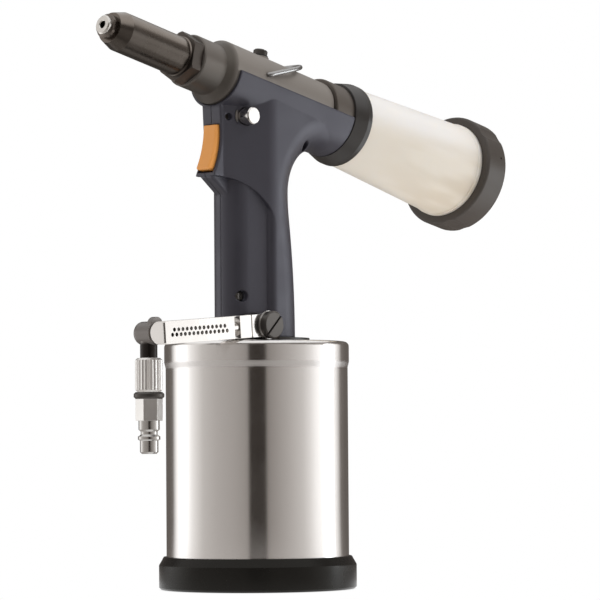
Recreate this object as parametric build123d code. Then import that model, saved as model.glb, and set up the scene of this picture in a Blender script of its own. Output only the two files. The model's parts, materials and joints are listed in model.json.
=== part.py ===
from build123d import *
import math
import os

# Air hydraulic riveter, millimetres.
# Origin: centre of the foot. +Z runs up the air cylinder, the nose points to -X and up.

# Fits and clearances
FIT = 0.03             # radial play of a pressed or screwed fit
RUN = 0.05             # radial play of a running fit
GAP = 0.3              # air between pieces that pass each other
COVER_GAP = 0.25       # covers round the casting
PARTING = 0.1          # each cover stops this far from the middle plane

# Air cylinder and foot
CYL_R = 48.0
CYL_WALL = 2.5
CYL_TOP_WALL = 4.0
STEP_Z = 116.0         # start of the rolled step
STEP_RISE = 3.0
COLLAR_R = 48.7
CYL_TOP = 129.5
CYL_TOP_ROUND = 2.6
BASE_R = 52.0
BASE_FLOOR = 4.0
BASE_SHOULDER = 12.6
BASE_H = 17.0
BASE_TOP_R = 49.5
BASE_RIM = 8.0
BASE_PAD_R = 14.0
BASE_RECESS = 1.5
VENT_R = 2.5
VENT_CIRCLE = 30.0
VENTS = 6
RING_T = 1.5           # snap ring
RING_DEPTH = 1.1
RING_WIDTH = 2.7
PLATE_T = 6.4          # bottom plate
CORD_R = 1.15          # seal section

# Air piston and ram
PISTON_PLAY = 0.3
PISTON_CLEAR = 2.0     # piston above the bottom plate at rest
PISTON_T = 14.0
SEAL_H = 4.6
SEAL_DEPTH = 3.1
RAM_R = 6.0
RAM_THREAD_R = 5.0
RAM_TIP = 140.0
NUT_AF = 16.0
NUT_T = 6.0

# Casting: spigot, pillar and barrel
SPIGOT_R = 11.0
SPIGOT_Z = 116.0
LOCK_R = 28.0
LOCK_T = 2.0
LOCK_FRONT_X = -10.0
GLAND_R = 8.6
GLAND_TOP = 135.0
GLAND_GROOVE_Z = 126.0
GLAND_GROOVE_H = 4.0
GLAND_GROOVE_R = 7.8
CYL_NUT_R = 22.0
CYL_NUT_T = 5.5
PILLAR_R = 12.2
PILLAR_X = 0.8
PILLAR_FRONT_R = 6.5
PILLAR_FRONT_X = -11.5
CHANNEL_R = 7.5
PORT_R = 2.0
PORT_Y = 4.0

# Head: axis through (0, 0, HEAD_Z), nose up by HEAD_TILT; stations run towards the nose
HEAD_Z = 263.6
HEAD_TILT = 12.6
BARREL_R = 17.3
BARREL_REAR = -44.3
BARREL_FRONT = 31.0
SHOULDER = 5.0
SNOUT_R = 14.0
SNOUT_FRONT = 52.0
OIL_BORE_R = 13.5
OIL_BORE_FRONT = 30.0
ROD_GLAND_R = 10.0
ROD_GLAND_T = 8.0
NOSE_THREAD_R = 10.8
NOSE_THREAD_REAR = 42.3
KEEL_Z = HEAD_Z - BARREL_R     # underside of the barrel; the trigger and the grip hang from it
CHANNEL_TOP = KEEL_Z - 3.3
COVER_WALL = 3.1               # covers round the barrel
COVER_FRONT_WALL = 1.6
COVER_R = BARREL_R + COVER_WALL
COVER_FRONT_R = BARREL_R + COVER_FRONT_WALL

# Nose
NOSE_R = 10.3
NOSE_BORE_R = 8.6
NOSE_CONE_REAR = 101.0
NOSE_FRONT = 108.0
NOSE_FRONT_R = 8.0
NOSE_WALL = 6.0
LOCK_NUT_T = 7.0
LOCK_NUT_AF = 24.0
TIP_THREAD_R = 5.6
TIP_FLANGE_R = 6.3
TIP_FLANGE_T = 3.0
TIP_R = 4.6
TIP_FRONT = 113.5
TIP_BORE_R = 1.9
NIB_R = 3.4
NIB_REAR = 97.0

# Pulling head
CASE_REAR = 62.0
CASE_FRONT = 101.6
CASE_BORE_R = 6.9
CASE_MOUTH_R = 4.0
CONE_FRONT = 99.0
CONE_ANGLE = 12.0
JAW_FRONT = 96.6
JAW_REAR = 84.6
JAW_TRAVEL = 2.2       # along the axis, from open to shut
JAW_SLIT = 1.3
JAW_BITE_R = 1.95
JAW_TEETH = 6
TOOTH = 0.35
PUSHER_R = 6.2
PUSHER_HEAD = 5.0
PUSHER_STEM_R = 3.6
PUSHER_BORE_R = 2.4
PUSHER_PLAY = 0.2
JAW_COIL_R = 4.8
JAW_WIRE_R = 0.5
JAW_TURNS = 4

# Oil piston
ROD_R = 7.0
ROD_END = 69.0
OIL_PISTON_FRONT = 24.0
OIL_PISTON_T = 16.0
PACKING_T = 5.0
PACKING_DEPTH = 2.7
TAIL_R = 5.0
TAIL_END = -46.0
MANDREL_BORE_R = 2.6
RETURN_COIL_R = 9.0
RETURN_WIRE_R = 1.3
RETURN_TURNS = 6

# Rear housing, tank ring, tank and cap
HOUSING_R = BARREL_R + 2.2
HOUSING_FRONT = BARREL_REAR - 0.5
HOUSING_REAR = -58.0
HOUSING_PLUG = -30.0
HOUSING_TUBE_R = 15.0
HOUSING_TUBE_END = -65.0
PASSAGE_R = 6.0
PASSAGE_STEP = 4.0
TANK_RING_FRONT_R = COVER_R + 0.4
TANK_RING_BEVEL = 8.0
TANK_RING_REAR = -69.0
SOCKET_DEPTH = 5.0
TANK_R1 = 21.8
TANK_R2 = 26.0
TANK_WALL = 2.0
TANK_RING_R = TANK_R1 + 1.1
TANK_BEAD = 0.6        # rib in front of the cap
TANK_BEAD_W = 2.2
CAP_R = TANK_R2 + 5.4
CAP_FRONT = -158.0
CAP_REAR = -174.0
CAP_LAP = 6.0
CAP_WALL = 4.0
CAP_ROUND = 2.0
CAP_FRONT_ROUND = 1.5
NOTCHES = 3
NOTCH_R = 14.0
NOTCH_DEPTH = 1.0
NOTCH_TURN = 72.0
CAP_HOLES = 8
CAP_HOLE_R = 2.0
CAP_HOLE_CIRCLE = 18.0
CAP_DOT_R = 0.7        # small hole in the cap's side
CAP_DOT_STATION = -169.0
CAP_DOT_TURN = 285.0

# Covers, side view
COVER_FRONT = 29.5
COVER_FOOT = 132.0
PALM_FOOT_X = 21.1
PALM_TOP_X = 16.2
PALM_TOP_Z = KEEL_Z - 38.3
PALM_BEND = 0.17       # where the hollow of the palm turns outwards
CHEEK_TOP = (-32.4, KEEL_Z - 4.1)      # cheeks beside the trigger
CHEEK_MID = (-32.8, KEEL_Z - 15.0)
CHEEK_TIP = (-36.9, KEEL_Z - 27.6)
NUB_TIP_X = -37.6
NUB_TOP = KEEL_Z - 29.1
NUB_FRONT = 1.6
LIP_T = 1.0
LIP_H = 0.8
RIDGE_HALF = 4.5       # ridge that carries the nub on the grip
RIDGE_MID = (-34.0, KEEL_Z - 34.0)
RIDGE_FOOT = (-25.0, KEEL_Z - 41.0)
RIDGE_ROUND = 1.5
ARCH_FRONT = (-36.0, KEEL_Z - 30.9)
ARCH_MID = (-19.0, KEEL_Z - 35.0)
STEP_X = -6.5
STEP_TOP_Z = KEEL_Z - 47.0
# Covers, plan
HALF_WIDTH = 18.0
NECK_HALF = 6.85
NECK_X = -31.0
FLANK_END_X = -4.5
FLANK_ROUND = 16.0
PLAN_REAR_X = 60.0
PALM_ROUND = 17.4
STEP_ROUND = 4.0
NECK_ROUND = 0.9
FINGER_R = 12.0
FINGER_X = -14.2
FINGER_REAR_R = 15.5    # the finger grip widens towards the palm
FINGER_TOP = KEEL_Z - 28.3

# Trigger and its valve
PIVOT = (-28.0, KEEL_Z + 0.3)
PIVOT_R = 1.5
HUB_R = 2.8
HUB_HALF = 2.0
TRIGGER_HALF = 4.9
TRIGGER_TOP = (-34.2, KEEL_Z - 4.1)
TRIGGER_MID = (-35.6, KEEL_Z - 15.3)
TRIGGER_TIP = (-40.3, KEEL_Z - 27.5)
TRIGGER_HEEL = (-33.4, KEEL_Z - 28.3)
TRIGGER_BACK_X = -29.0
TRIGGER_ROUND = 1.2
TRIGGER_HEEL_RISE = 7.0
TRIGGER_ARM_ROOT = 5.0        # how far the trigger's arm reaches down into the blade
SLOT_SIDE = 0.5
SLOT_BACK_X = -24.8
PIN_HALF = 6.3
PIN_HOLE_R = 1.9
VALVE_Z = KEEL_Z - 18.3
VALVE_ROD_R = 2.0
VALVE_ROD_END = -13.2
VALVE_ROD_CHAMFER = 1.2
VALVE_COLLAR_R = 3.6
VALVE_COLLAR = (-26.6, -25.6)
BUSH_R = 5.0
BUSH_FRONT = -20.2
BUSH_REAR = -11.5
VALVE_BORE_END = -9.0
VALVE_COIL_R = 2.95
VALVE_WIRE_R = 0.3
VALVE_TURNS = 2

# Suction button
SUCTION_X = -18.6
SUCTION_Z = KEEL_Z + 0.8
SUCTION_R = 4.6
SUCTION_FACE_Y = -17.4
SUCTION_END_Y = -6.4
SUCTION_BOSS_R = 5.9
SUCTION_BOSS_Y = (-10.0, -2.8)
SUCTION_BORE_END = -3.6

# Cover screws: axis (x, z), head seat y
COVER_SCREWS = [((24.0, KEEL_Z - 12.5), -7.0), ((-20.8, COVER_FOOT + 21.0), -6.2)]
SCREW_HEAD_R = 2.7
SCREW_HEAD_T = 2.2
SCREW_R = 1.5
SCREW_END_Y = 6.0
SCREW_HOLE_R = 3.0
SCREW_SLOT = 0.8

# Oil plug and hanger on the barrel
PLUG_FLAT = BARREL_R + 0.3
PLUG_HEAD_R = 3.8
PLUG_HEAD_T = 3.2
PLUG_R = 2.5
PLUG_WASHER_T = 0.8
PLUG_WASHER_R = 4.4
PLUG_SLOT = 1.2
HANGER_STATION = 8.4
HANGER_RISE = 3.9
HANGER_HALF = BARREL_R + 1.4
HANGER_LEG = 16.0
HANGER_WIRE_R = 1.25
HANGER_BEND = 1.6
HANGER_END = BARREL_R - 2.7
# The bail rests on the barrel
HANGER_CLIMB = BARREL_R + HANGER_WIRE_R + GAP - HANGER_RISE
HANGER_LEAN = math.degrees(math.asin(HANGER_CLIMB / (HANGER_LEG + HANGER_HALF)))

# Inlet arm: axis of the banjo bolt along Y
BANJO_X = -18.6
BANJO_Z = 137.5
ARM_TILT = 4.3
ARM_FACE_Y = -27.0
ARM_BACK_Y = -16.4
ARM_H = 11.7
EYE_R = 7.4
EYE_END = 21.2
ARM_GROOVE = (12.2, 13.0)
ARM_GROOVE_DEPTH = 0.6
NECK_R = 4.6
BLOCK_START = 25.3
BLOCK_END = 76.1
BOSS_R = 5.8
WASHER_T = 0.7
WASHER_R = 7.0
BANJO_R = 3.9
BANJO_END_Y = -5.0
BANJO_HEAD_R = 7.15
BANJO_HEAD_T = 3.6
BANJO_SLOT = 1.2
BANJO_SLOT_TURN = 45.0
SILENCER_R = 3.8
SILENCER_END = 66.0
ARM_BORE_R = 1.8
ARM_STEM = 6.0
EXHAUST_R = 1.0
EXHAUST_PITCH = 3.02
EXHAUST_ROWS = 2.55
EXHAUST_START = 31.0
EXHAUST_HOLES = (13, 14)

# Swivel elbow and air plug
ELBOW_STATION = 70.4
ELBOW_R = 6.0
ELBOW_ROUND = 3.0
ELBOW_END_Y = -3.4
ELBOW_LUG_R = 4.2
ELBOW_LUG_RISE = 4.0
ELBOW_LUG_T = 3.0
DROP_Y = -10.0
DROP_R = 4.4
DROP_LEN = 22.0
SWIVEL_PIN_R = 3.0
SWIVEL_PIN_BORE = 1.6
SWIVEL_PIN_Y = (-21.0, -11.5)
COLLAR_TOP = 119.7
KNURL_COLLAR_R = 7.0
KNURLS = 24
KNURL_DEPTH = 0.35
KNURL_EDGE = 1.2
COLLAR_FOOT = 102.5
SWIVEL_WASHER_R = 7.8
SWIVEL_WASHER_BEVEL = 1.0
HEX_TOP = 99.0
HEX_AF = 12.0
HEX_TURN = 22.0
STEM_R = 2.5
STEM_TOP = 124.0
PLUG_TOP = 88.0
PLUG_FOOT = 71.2
PLUG_BORE_R = 1.5
PLUG_THREAD_R = 2.0
PLUG_THREAD = 6.0
NIPPLE_R = 5.4
NIPPLE_WAIST_R = 4.3
NIPPLE_HEAD_R = 4.7
NIPPLE_NECK_Z = 83.5
NIPPLE_RING_R = 5.7
NIPPLE_RING_Z = (78.5, 80.0)


# Frames of reference
TILT_SIN = math.sin(math.radians(HEAD_TILT))
TILT_COS = math.cos(math.radians(HEAD_TILT))
HEAD = Plane((0, 0, HEAD_Z), x_dir=(TILT_SIN, 0, TILT_COS), z_dir=(-TILT_COS, 0, TILT_SIN)).location
ARM_SIN = math.sin(math.radians(ARM_TILT))
ARM_COS = math.cos(math.radians(ARM_TILT))
ARM = Plane((BANJO_X, 0, BANJO_Z), x_dir=(-ARM_COS, 0, -ARM_SIN), z_dir=(-ARM_SIN, 0, ARM_COS)).location


# Helpers

def outline(points, rounds=()):
    """Closed face through points; rounds lists (corner, radius)."""
    face = make_face(Polyline(*points, close=True))
    for (x, y), radius in rounds:
        corner = [v for v in face.vertices() if math.hypot(v.X - x, v.Y - y) < 1e-6]
        face = fillet(corner, radius)
    return face


def turned(points, rounds=()):
    """Solid turned about Z from (radius, height) points."""
    return revolve(Plane.XZ * outline(points, rounds), Axis.Z)


def rod(radius, z0, z1):
    """Cylinder on the Z axis from z0 to z1."""
    return Pos(0, 0, (z0 + z1) / 2) * Cylinder(radius, abs(z1 - z0))


def pipe(outer, inner, z0, z1):
    return rod(outer, z0, z1) - rod(inner, min(z0, z1) - 1, max(z0, z1) + 1)


def cross_rod(radius, x, z, y0, y1):
    """Cylinder along Y through (x, z)."""
    return Pos(x, (y0 + y1) / 2, z) * Rot(90, 0, 0) * Cylinder(radius, abs(y1 - y0))


def long_rod(radius, x0, x1, z):
    """Cylinder along X at height z."""
    return Pos((x0 + x1) / 2, 0, z) * Rot(0, 90, 0) * Cylinder(radius, abs(x1 - x0))


def slab(face, half):
    """Face drawn in side view (x, z), thickened evenly about the middle plane."""
    return extrude(Plane.XZ * face, half, both=True)


def hexagon(across_flats, z0, z1):
    return extrude(Pos(0, 0, z0) * RegularPolygon(across_flats / 2, 6, major_radius=False), z1 - z0)


def spring(coil_r, wire_r, z0, z1, turns):
    """Open coil between two seats, one unbroken wire."""
    rise = z1 - z0 - 2 * wire_r - 2 * FIT
    path = Pos(0, 0, z0 + wire_r + FIT) * Helix(rise / turns, rise, coil_r)
    wire = Plane(path @ 0, z_dir=path % 0) * Circle(wire_r)
    print("spring: gap between turns", round(rise / turns - 2 * wire_r, 2))
    return sweep(wire, path, is_frenet=True)


def at_station(station, rise=0.0):
    """Point of the middle plane at a station of the head, as (x, z)."""
    return (-station * TILT_COS + rise * TILT_SIN, HEAD_Z + station * TILT_SIN + rise * TILT_COS)


def edges_near(shape, tests):
    """Edges whose middle passes every (axis, low, high) test."""
    found = []
    for edge in shape.edges():
        middle = edge @ 0.5
        if all(low <= getattr(middle, axis) <= high for axis, low, high in tests):
            found.append(edge)
    return found


nodes = {}

# Foot and air cylinder
bore_r = CYL_R - CYL_WALL
foot = turned([
    (0, 0), (BASE_PAD_R, 0), (BASE_PAD_R, BASE_RECESS), (BASE_R - BASE_RIM, BASE_RECESS),
    (BASE_R - BASE_RIM, 0), (BASE_R - 1, 0),
    (BASE_R, 1), (BASE_R, BASE_SHOULDER), (BASE_TOP_R, BASE_H), (CYL_R + FIT, BASE_H),
    (CYL_R + FIT, BASE_FLOOR), (0, BASE_FLOOR)])
for vent in PolarLocations(VENT_CIRCLE, VENTS):
    foot -= vent * rod(VENT_R, -1, BASE_FLOOR + 1)
nodes["base_cover"] = foot

ring_z = BASE_FLOOR + 2
plate_z = ring_z + RING_T + FIT
plate_top = plate_z + PLATE_T
cylinder_inside = CYL_TOP - CYL_TOP_WALL
nodes["air_cylinder"] = turned([
    (CYL_R, BASE_FLOOR), (CYL_R, STEP_Z), (COLLAR_R, STEP_Z + STEP_RISE), (COLLAR_R, CYL_TOP),
    (SPIGOT_R + FIT, CYL_TOP), (SPIGOT_R + FIT, cylinder_inside), (bore_r, cylinder_inside),
    (bore_r, ring_z + RING_T + FIT), (bore_r + RING_DEPTH, ring_z + RING_T + FIT),
    (bore_r + RING_DEPTH, ring_z - FIT), (bore_r, ring_z - FIT), (bore_r, BASE_FLOOR)],
    [((COLLAR_R, CYL_TOP), CYL_TOP_ROUND), ((bore_r, cylinder_inside), CYL_TOP_ROUND - 1)])

ring_out = bore_r + RING_DEPTH - FIT
snap = pipe(ring_out, ring_out - RING_WIDTH, ring_z, ring_z + RING_T)
nodes["snap_ring"] = snap - Pos(ring_out, 0, ring_z) * Box(12, 8, 6)

groove_z = plate_z + PLATE_T / 2
groove_r = bore_r - FIT - 2 * CORD_R
nodes["bottom_plate"] = turned([
    (VENT_R, plate_z), (bore_r - FIT, plate_z), (bore_r - FIT, groove_z - CORD_R),
    (groove_r, groove_z - CORD_R), (groove_r, groove_z + CORD_R), (bore_r - FIT, groove_z + CORD_R),
    (bore_r - FIT, plate_top), (VENT_R, plate_top)])
nodes["plate_seal"] = Pos(0, 0, groove_z) * Torus(bore_r - FIT - CORD_R, CORD_R - FIT)

# Air piston and ram
piston_z = plate_top + PISTON_CLEAR
piston_top = piston_z + PISTON_T
piston_r = bore_r - PISTON_PLAY
seal_z = piston_z + PISTON_T / 2
nut_hole = NUT_AF / 2 / math.cos(math.pi / 6) + GAP
seal_r = bore_r - RUN - SEAL_DEPTH
nodes["air_piston"] = turned([
    (nut_hole, piston_z), (piston_r - 1, piston_z), (piston_r, piston_z + 1),
    (piston_r, seal_z - SEAL_H / 2), (seal_r, seal_z - SEAL_H / 2), (seal_r, seal_z + SEAL_H / 2),
    (piston_r, seal_z + SEAL_H / 2), (piston_r, piston_top - 1), (piston_r - 1, piston_top),
    (RAM_THREAD_R + FIT, piston_top), (RAM_THREAD_R + FIT, piston_z + NUT_T + 1),
    (nut_hole, piston_z + NUT_T + 1)])
nodes["piston_seal"] = turned([
    (seal_r + FIT, seal_z - SEAL_H / 2 + FIT), (bore_r - RUN - 1, seal_z - SEAL_H / 2 + FIT),
    (bore_r - RUN, seal_z - SEAL_H / 2 + 1), (bore_r - RUN, seal_z + SEAL_H / 2 - 1),
    (bore_r - RUN - 1, seal_z + SEAL_H / 2 - FIT), (seal_r + FIT, seal_z + SEAL_H / 2 - FIT)])
nodes["ram"] = turned([
    (0, piston_z + 0.5), (RAM_THREAD_R, piston_z + 0.5), (RAM_THREAD_R, piston_top + FIT),
    (RAM_R, piston_top + FIT), (RAM_R, RAM_TIP - 2), (RAM_R - 2, RAM_TIP), (0, RAM_TIP)])
nut = hexagon(NUT_AF, piston_z + 1 - FIT, piston_z + NUT_T + 1 - FIT)
nodes["ram_nut"] = nut - rod(RAM_THREAD_R + FIT, 0, RAM_TIP)

# Casting: spigot, pillar, barrel and bosses in one piece
pillar_foot = CYL_TOP + LOCK_T


def pillar(extra, z0, z1):
    """Oil column with the air passage in front of it."""
    rear = Pos(PILLAR_X, 0) * Circle(PILLAR_R + extra)
    front = Pos(PILLAR_FRONT_X, 0) * Circle(PILLAR_FRONT_R + extra)
    return extrude(Pos(0, 0, z0) * make_hull((rear + front).edges()), z1 - z0)


def barrel(extra):
    """Outside of the barrel, its shoulder and snout, on the head axis."""
    snout_r = SNOUT_R + extra
    barrel_r = BARREL_R + extra
    return turned([
        (0, BARREL_REAR), (barrel_r - 0.5, BARREL_REAR), (barrel_r, BARREL_REAR + 0.5),
        (barrel_r, BARREL_FRONT), (snout_r, BARREL_FRONT + SHOULDER), (snout_r, SNOUT_FRONT - 0.6),
        (snout_r - 0.6, SNOUT_FRONT), (0, SNOUT_FRONT)])


casting = pillar(0, pillar_foot, HEAD_Z - 1) + HEAD * barrel(0)
casting += rod(SPIGOT_R, SPIGOT_Z, pillar_foot + 1)
casting += cross_rod(SUCTION_BOSS_R, SUCTION_X, SUCTION_Z, *SUCTION_BOSS_Y)
casting += HEAD * (Rot(0, 90, 0) * rod(PLUG_WASHER_R + 0.5, OIL_BORE_R + 1, PLUG_FLAT))
boss_face = ARM_BACK_Y + WASHER_T
casting += cross_rod(BOSS_R, BANJO_X, BANJO_Z, boss_face, -BANJO_END_Y)
rod_gland_front = OIL_BORE_FRONT + ROD_GLAND_T
casting -= HEAD * turned([
    (0, BARREL_REAR - 1), (OIL_BORE_R, BARREL_REAR - 1), (OIL_BORE_R, OIL_BORE_FRONT),
    (ROD_GLAND_R, OIL_BORE_FRONT), (ROD_GLAND_R, rod_gland_front), (ROD_R + GAP, rod_gland_front),
    (ROD_R + GAP, NOSE_THREAD_REAR), (NOSE_THREAD_R + FIT, NOSE_THREAD_REAR),
    (NOSE_THREAD_R + FIT, SNOUT_FRONT + 1), (0, SNOUT_FRONT + 1)])
casting -= rod(GLAND_R, SPIGOT_Z - 1, GLAND_TOP) + rod(CHANNEL_R, GLAND_TOP - 1, CHANNEL_TOP)
port_foot = Vector(0, PORT_Y, CHANNEL_TOP - 3)
port_x, port_z = at_station(OIL_BORE_FRONT - 3, 0)
port = Vector(port_x, PORT_Y, port_z) - port_foot
casting -= Plane(port_foot, z_dir=port) * rod(PORT_R, 0, port.length)
casting -= cross_rod(SUCTION_R + RUN, SUCTION_X, SUCTION_Z, SUCTION_BORE_END, SUCTION_FACE_Y)
casting -= cross_rod(BANJO_R + FIT, BANJO_X, BANJO_Z, ARM_FACE_Y, BANJO_END_Y - 1)
casting -= long_rod(BUSH_R + FIT, BUSH_FRONT - 5, BUSH_REAR, VALVE_Z)
casting -= long_rod(VALVE_ROD_R + GAP, BUSH_REAR - 1, VALVE_BORE_END, VALVE_Z)
casting -= HEAD * (Rot(0, 90, 0) * rod(PLUG_R + FIT, OIL_BORE_R - 2, BARREL_R + 2))
hanger_axis = HEAD * Pos(HANGER_RISE, 0, HANGER_STATION)
for side in (-1, 1):
    hole = Pos(0, side * (HANGER_END - GAP + 5), 0) * Rot(90, 0, 0) * Cylinder(HANGER_WIRE_R + RUN, 10)
    casting -= hanger_axis * hole
nodes["head_frame"] = casting

nodes["lock_plate"] = (pipe(LOCK_R, SPIGOT_R + FIT, CYL_TOP, pillar_foot)
                       & Pos(LOCK_FRONT_X + LOCK_R, 0, CYL_TOP) * Box(2 * LOCK_R, 3 * LOCK_R, 10))
cylinder_nut = pipe(CYL_NUT_R, SPIGOT_R + FIT, cylinder_inside - CYL_NUT_T, cylinder_inside)
for slot in PolarLocations(CYL_NUT_R, 4):
    cylinder_nut -= slot * Pos(0, 0, cylinder_inside - CYL_NUT_T) * Box(5, 5, 6)
nodes["cylinder_nut"] = cylinder_nut
nodes["ram_gland"] = turned([
    (RAM_R + RUN, SPIGOT_Z), (GLAND_R - FIT, SPIGOT_Z), (GLAND_R - FIT, GLAND_TOP - FIT),
    (RAM_R + RUN, GLAND_TOP - FIT), (RAM_R + RUN, GLAND_GROOVE_Z + GLAND_GROOVE_H),
    (GLAND_GROOVE_R, GLAND_GROOVE_Z + GLAND_GROOVE_H), (GLAND_GROOVE_R, GLAND_GROOVE_Z),
    (RAM_R + RUN, GLAND_GROOVE_Z)])
nodes["gland_seal"] = pipe(GLAND_GROOVE_R - FIT, RAM_R + RUN, GLAND_GROOVE_Z + FIT,
                           GLAND_GROOVE_Z + GLAND_GROOVE_H - FIT)

# Nose: tube, lock nut and tip
lock_nut_front = SNOUT_FRONT + LOCK_NUT_T
nose_wall_rear = NOSE_FRONT - NOSE_WALL
nodes["frame_head"] = HEAD * turned([
    (NOSE_BORE_R, NOSE_THREAD_REAR + FIT), (NOSE_THREAD_R, NOSE_THREAD_REAR + FIT),
    (NOSE_THREAD_R, lock_nut_front + 0.2), (NOSE_R, lock_nut_front + 0.8), (NOSE_R, NOSE_CONE_REAR),
    (NOSE_FRONT_R, NOSE_FRONT), (TIP_THREAD_R, NOSE_FRONT), (TIP_THREAD_R, nose_wall_rear),
    (NOSE_BORE_R, nose_wall_rear)])
nut_corner = LOCK_NUT_AF / 2 / math.cos(math.pi / 6)
chamfer_cone = turned([
    (0, SNOUT_FRONT + FIT), (nut_corner - 0.8, SNOUT_FRONT + FIT), (nut_corner, SNOUT_FRONT + 0.8),
    (nut_corner, lock_nut_front - 0.8), (nut_corner - 0.8, lock_nut_front), (0, lock_nut_front)])
lock_nut = hexagon(LOCK_NUT_AF, SNOUT_FRONT + FIT, lock_nut_front) & chamfer_cone
nodes["lock_nut"] = HEAD * (lock_nut - rod(NOSE_THREAD_R + FIT, 0, NOSE_FRONT))
tip = turned([
    (TIP_BORE_R, NIB_REAR), (NIB_R - 0.6, NIB_REAR), (NIB_R, NIB_REAR + 1), (NIB_R, nose_wall_rear),
    (TIP_THREAD_R - FIT, nose_wall_rear), (TIP_THREAD_R - FIT, NOSE_FRONT + FIT),
    (TIP_FLANGE_R, NOSE_FRONT + FIT), (TIP_FLANGE_R, NOSE_FRONT + TIP_FLANGE_T),
    (TIP_R + 0.4, NOSE_FRONT + TIP_FLANGE_T + 0.4), (TIP_R + 0.4, TIP_FRONT - 0.6),
    (TIP_R - 0.2, TIP_FRONT), (TIP_BORE_R + 0.4, TIP_FRONT), (TIP_BORE_R, TIP_FRONT - 0.4)])
for side in (-1, 1):
    tip -= Pos(0, side * (TIP_FLANGE_R + 4.4), NOSE_FRONT + 5) * Box(20, 10, 10 - FIT)
nodes["nosepiece"] = HEAD * tip

# Pulling head: oil piston, jaw case, jaws, pusher and spring
piston_rear = OIL_PISTON_FRONT - OIL_PISTON_T
oil_r = OIL_BORE_R - RUN
packing_z = OIL_PISTON_FRONT - OIL_PISTON_T / 2
packing_r = oil_r - PACKING_DEPTH
nodes["oil_piston"] = HEAD * turned([
    (MANDREL_BORE_R, TAIL_END), (TAIL_R - 0.5, TAIL_END), (TAIL_R, TAIL_END + 0.5),
    (TAIL_R, piston_rear), (oil_r, piston_rear), (oil_r, packing_z - PACKING_T / 2),
    (packing_r, packing_z - PACKING_T / 2), (packing_r, packing_z + PACKING_T / 2),
    (oil_r, packing_z + PACKING_T / 2), (oil_r, OIL_PISTON_FRONT), (ROD_R, OIL_PISTON_FRONT),
    (ROD_R, CASE_REAR - FIT), (CASE_BORE_R - FIT, CASE_REAR - FIT), (CASE_BORE_R - FIT, ROD_END),
    (MANDREL_BORE_R, ROD_END)])
nodes["piston_packing"] = HEAD * pipe(oil_r, packing_r + FIT, packing_z - PACKING_T / 2 + FIT,
                                      packing_z + PACKING_T / 2 - FIT)
nodes["rod_gland"] = HEAD * pipe(ROD_GLAND_R - FIT, ROD_R + RUN, OIL_BORE_FRONT, rod_gland_front - FIT)
cone_slope = math.tan(math.radians(CONE_ANGLE))
cone_rear = CONE_FRONT - (CASE_BORE_R - CASE_MOUTH_R) / cone_slope
case_r = NOSE_BORE_R - GAP
nodes["jaw_case"] = HEAD * turned([
    (CASE_BORE_R, CASE_REAR), (case_r, CASE_REAR), (case_r, CASE_FRONT - 1), (case_r - 1, CASE_FRONT),
    (CASE_MOUTH_R, CASE_FRONT), (CASE_MOUTH_R, CONE_FRONT), (CASE_BORE_R, cone_rear)])

# One jaw: a third of a cone that matches the case when shut, drawn in the open position
shut = JAW_TRAVEL * cone_slope
jaw_front_r = CASE_MOUTH_R + (CONE_FRONT - JAW_FRONT) * cone_slope - shut - RUN
jaw_rear_r = jaw_front_r + (JAW_FRONT - JAW_REAR) * cone_slope
jaw_rear_r = min(jaw_rear_r, CASE_BORE_R - shut - RUN)
bite = [(JAW_BITE_R + 0.8, JAW_REAR)]
tooth_pitch = (JAW_FRONT - JAW_REAR - 2) / JAW_TEETH
for tooth in range(JAW_TEETH):
    tooth_z = JAW_REAR + 1 + tooth * tooth_pitch
    bite += [(JAW_BITE_R + TOOTH, tooth_z), (JAW_BITE_R, tooth_z + tooth_pitch * 0.7)]
bite += [(JAW_BITE_R + TOOTH, JAW_FRONT)]
jaw_blank = turned([(jaw_rear_r, JAW_REAR), *bite, (jaw_front_r, JAW_FRONT)][::-1])
reach = 2 * NOSE_BORE_R
wedge = outline([(0, 0), (reach, reach * math.tan(math.pi / 3)), (reach, -reach * math.tan(math.pi / 3))])
third = extrude(Pos(0, 0, JAW_REAR - 1) * wedge, JAW_FRONT - JAW_REAR + 2)
jaw = Pos(shut, 0, 0) * (jaw_blank & Pos(JAW_SLIT / 2, 0, 0) * third)
for index in range(3):
    nodes[f"jaw_{index + 1}"] = HEAD * Rot(0, 0, 120 * index) * jaw
pusher_front = JAW_REAR - PUSHER_PLAY
nodes["jaw_pusher"] = HEAD * turned([
    (PUSHER_BORE_R, ROD_END + GAP), (PUSHER_STEM_R, ROD_END + GAP),
    (PUSHER_STEM_R, pusher_front - PUSHER_HEAD), (PUSHER_R, pusher_front - PUSHER_HEAD),
    (PUSHER_R, pusher_front), (PUSHER_BORE_R, pusher_front)])
jaw_coil = spring(JAW_COIL_R, JAW_WIRE_R, ROD_END, pusher_front - PUSHER_HEAD, JAW_TURNS)
nodes["jaw_spring"] = HEAD * jaw_coil
return_coil = spring(RETURN_COIL_R, RETURN_WIRE_R, HOUSING_PLUG, piston_rear, RETURN_TURNS)
nodes["return_spring"] = HEAD * return_coil

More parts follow.
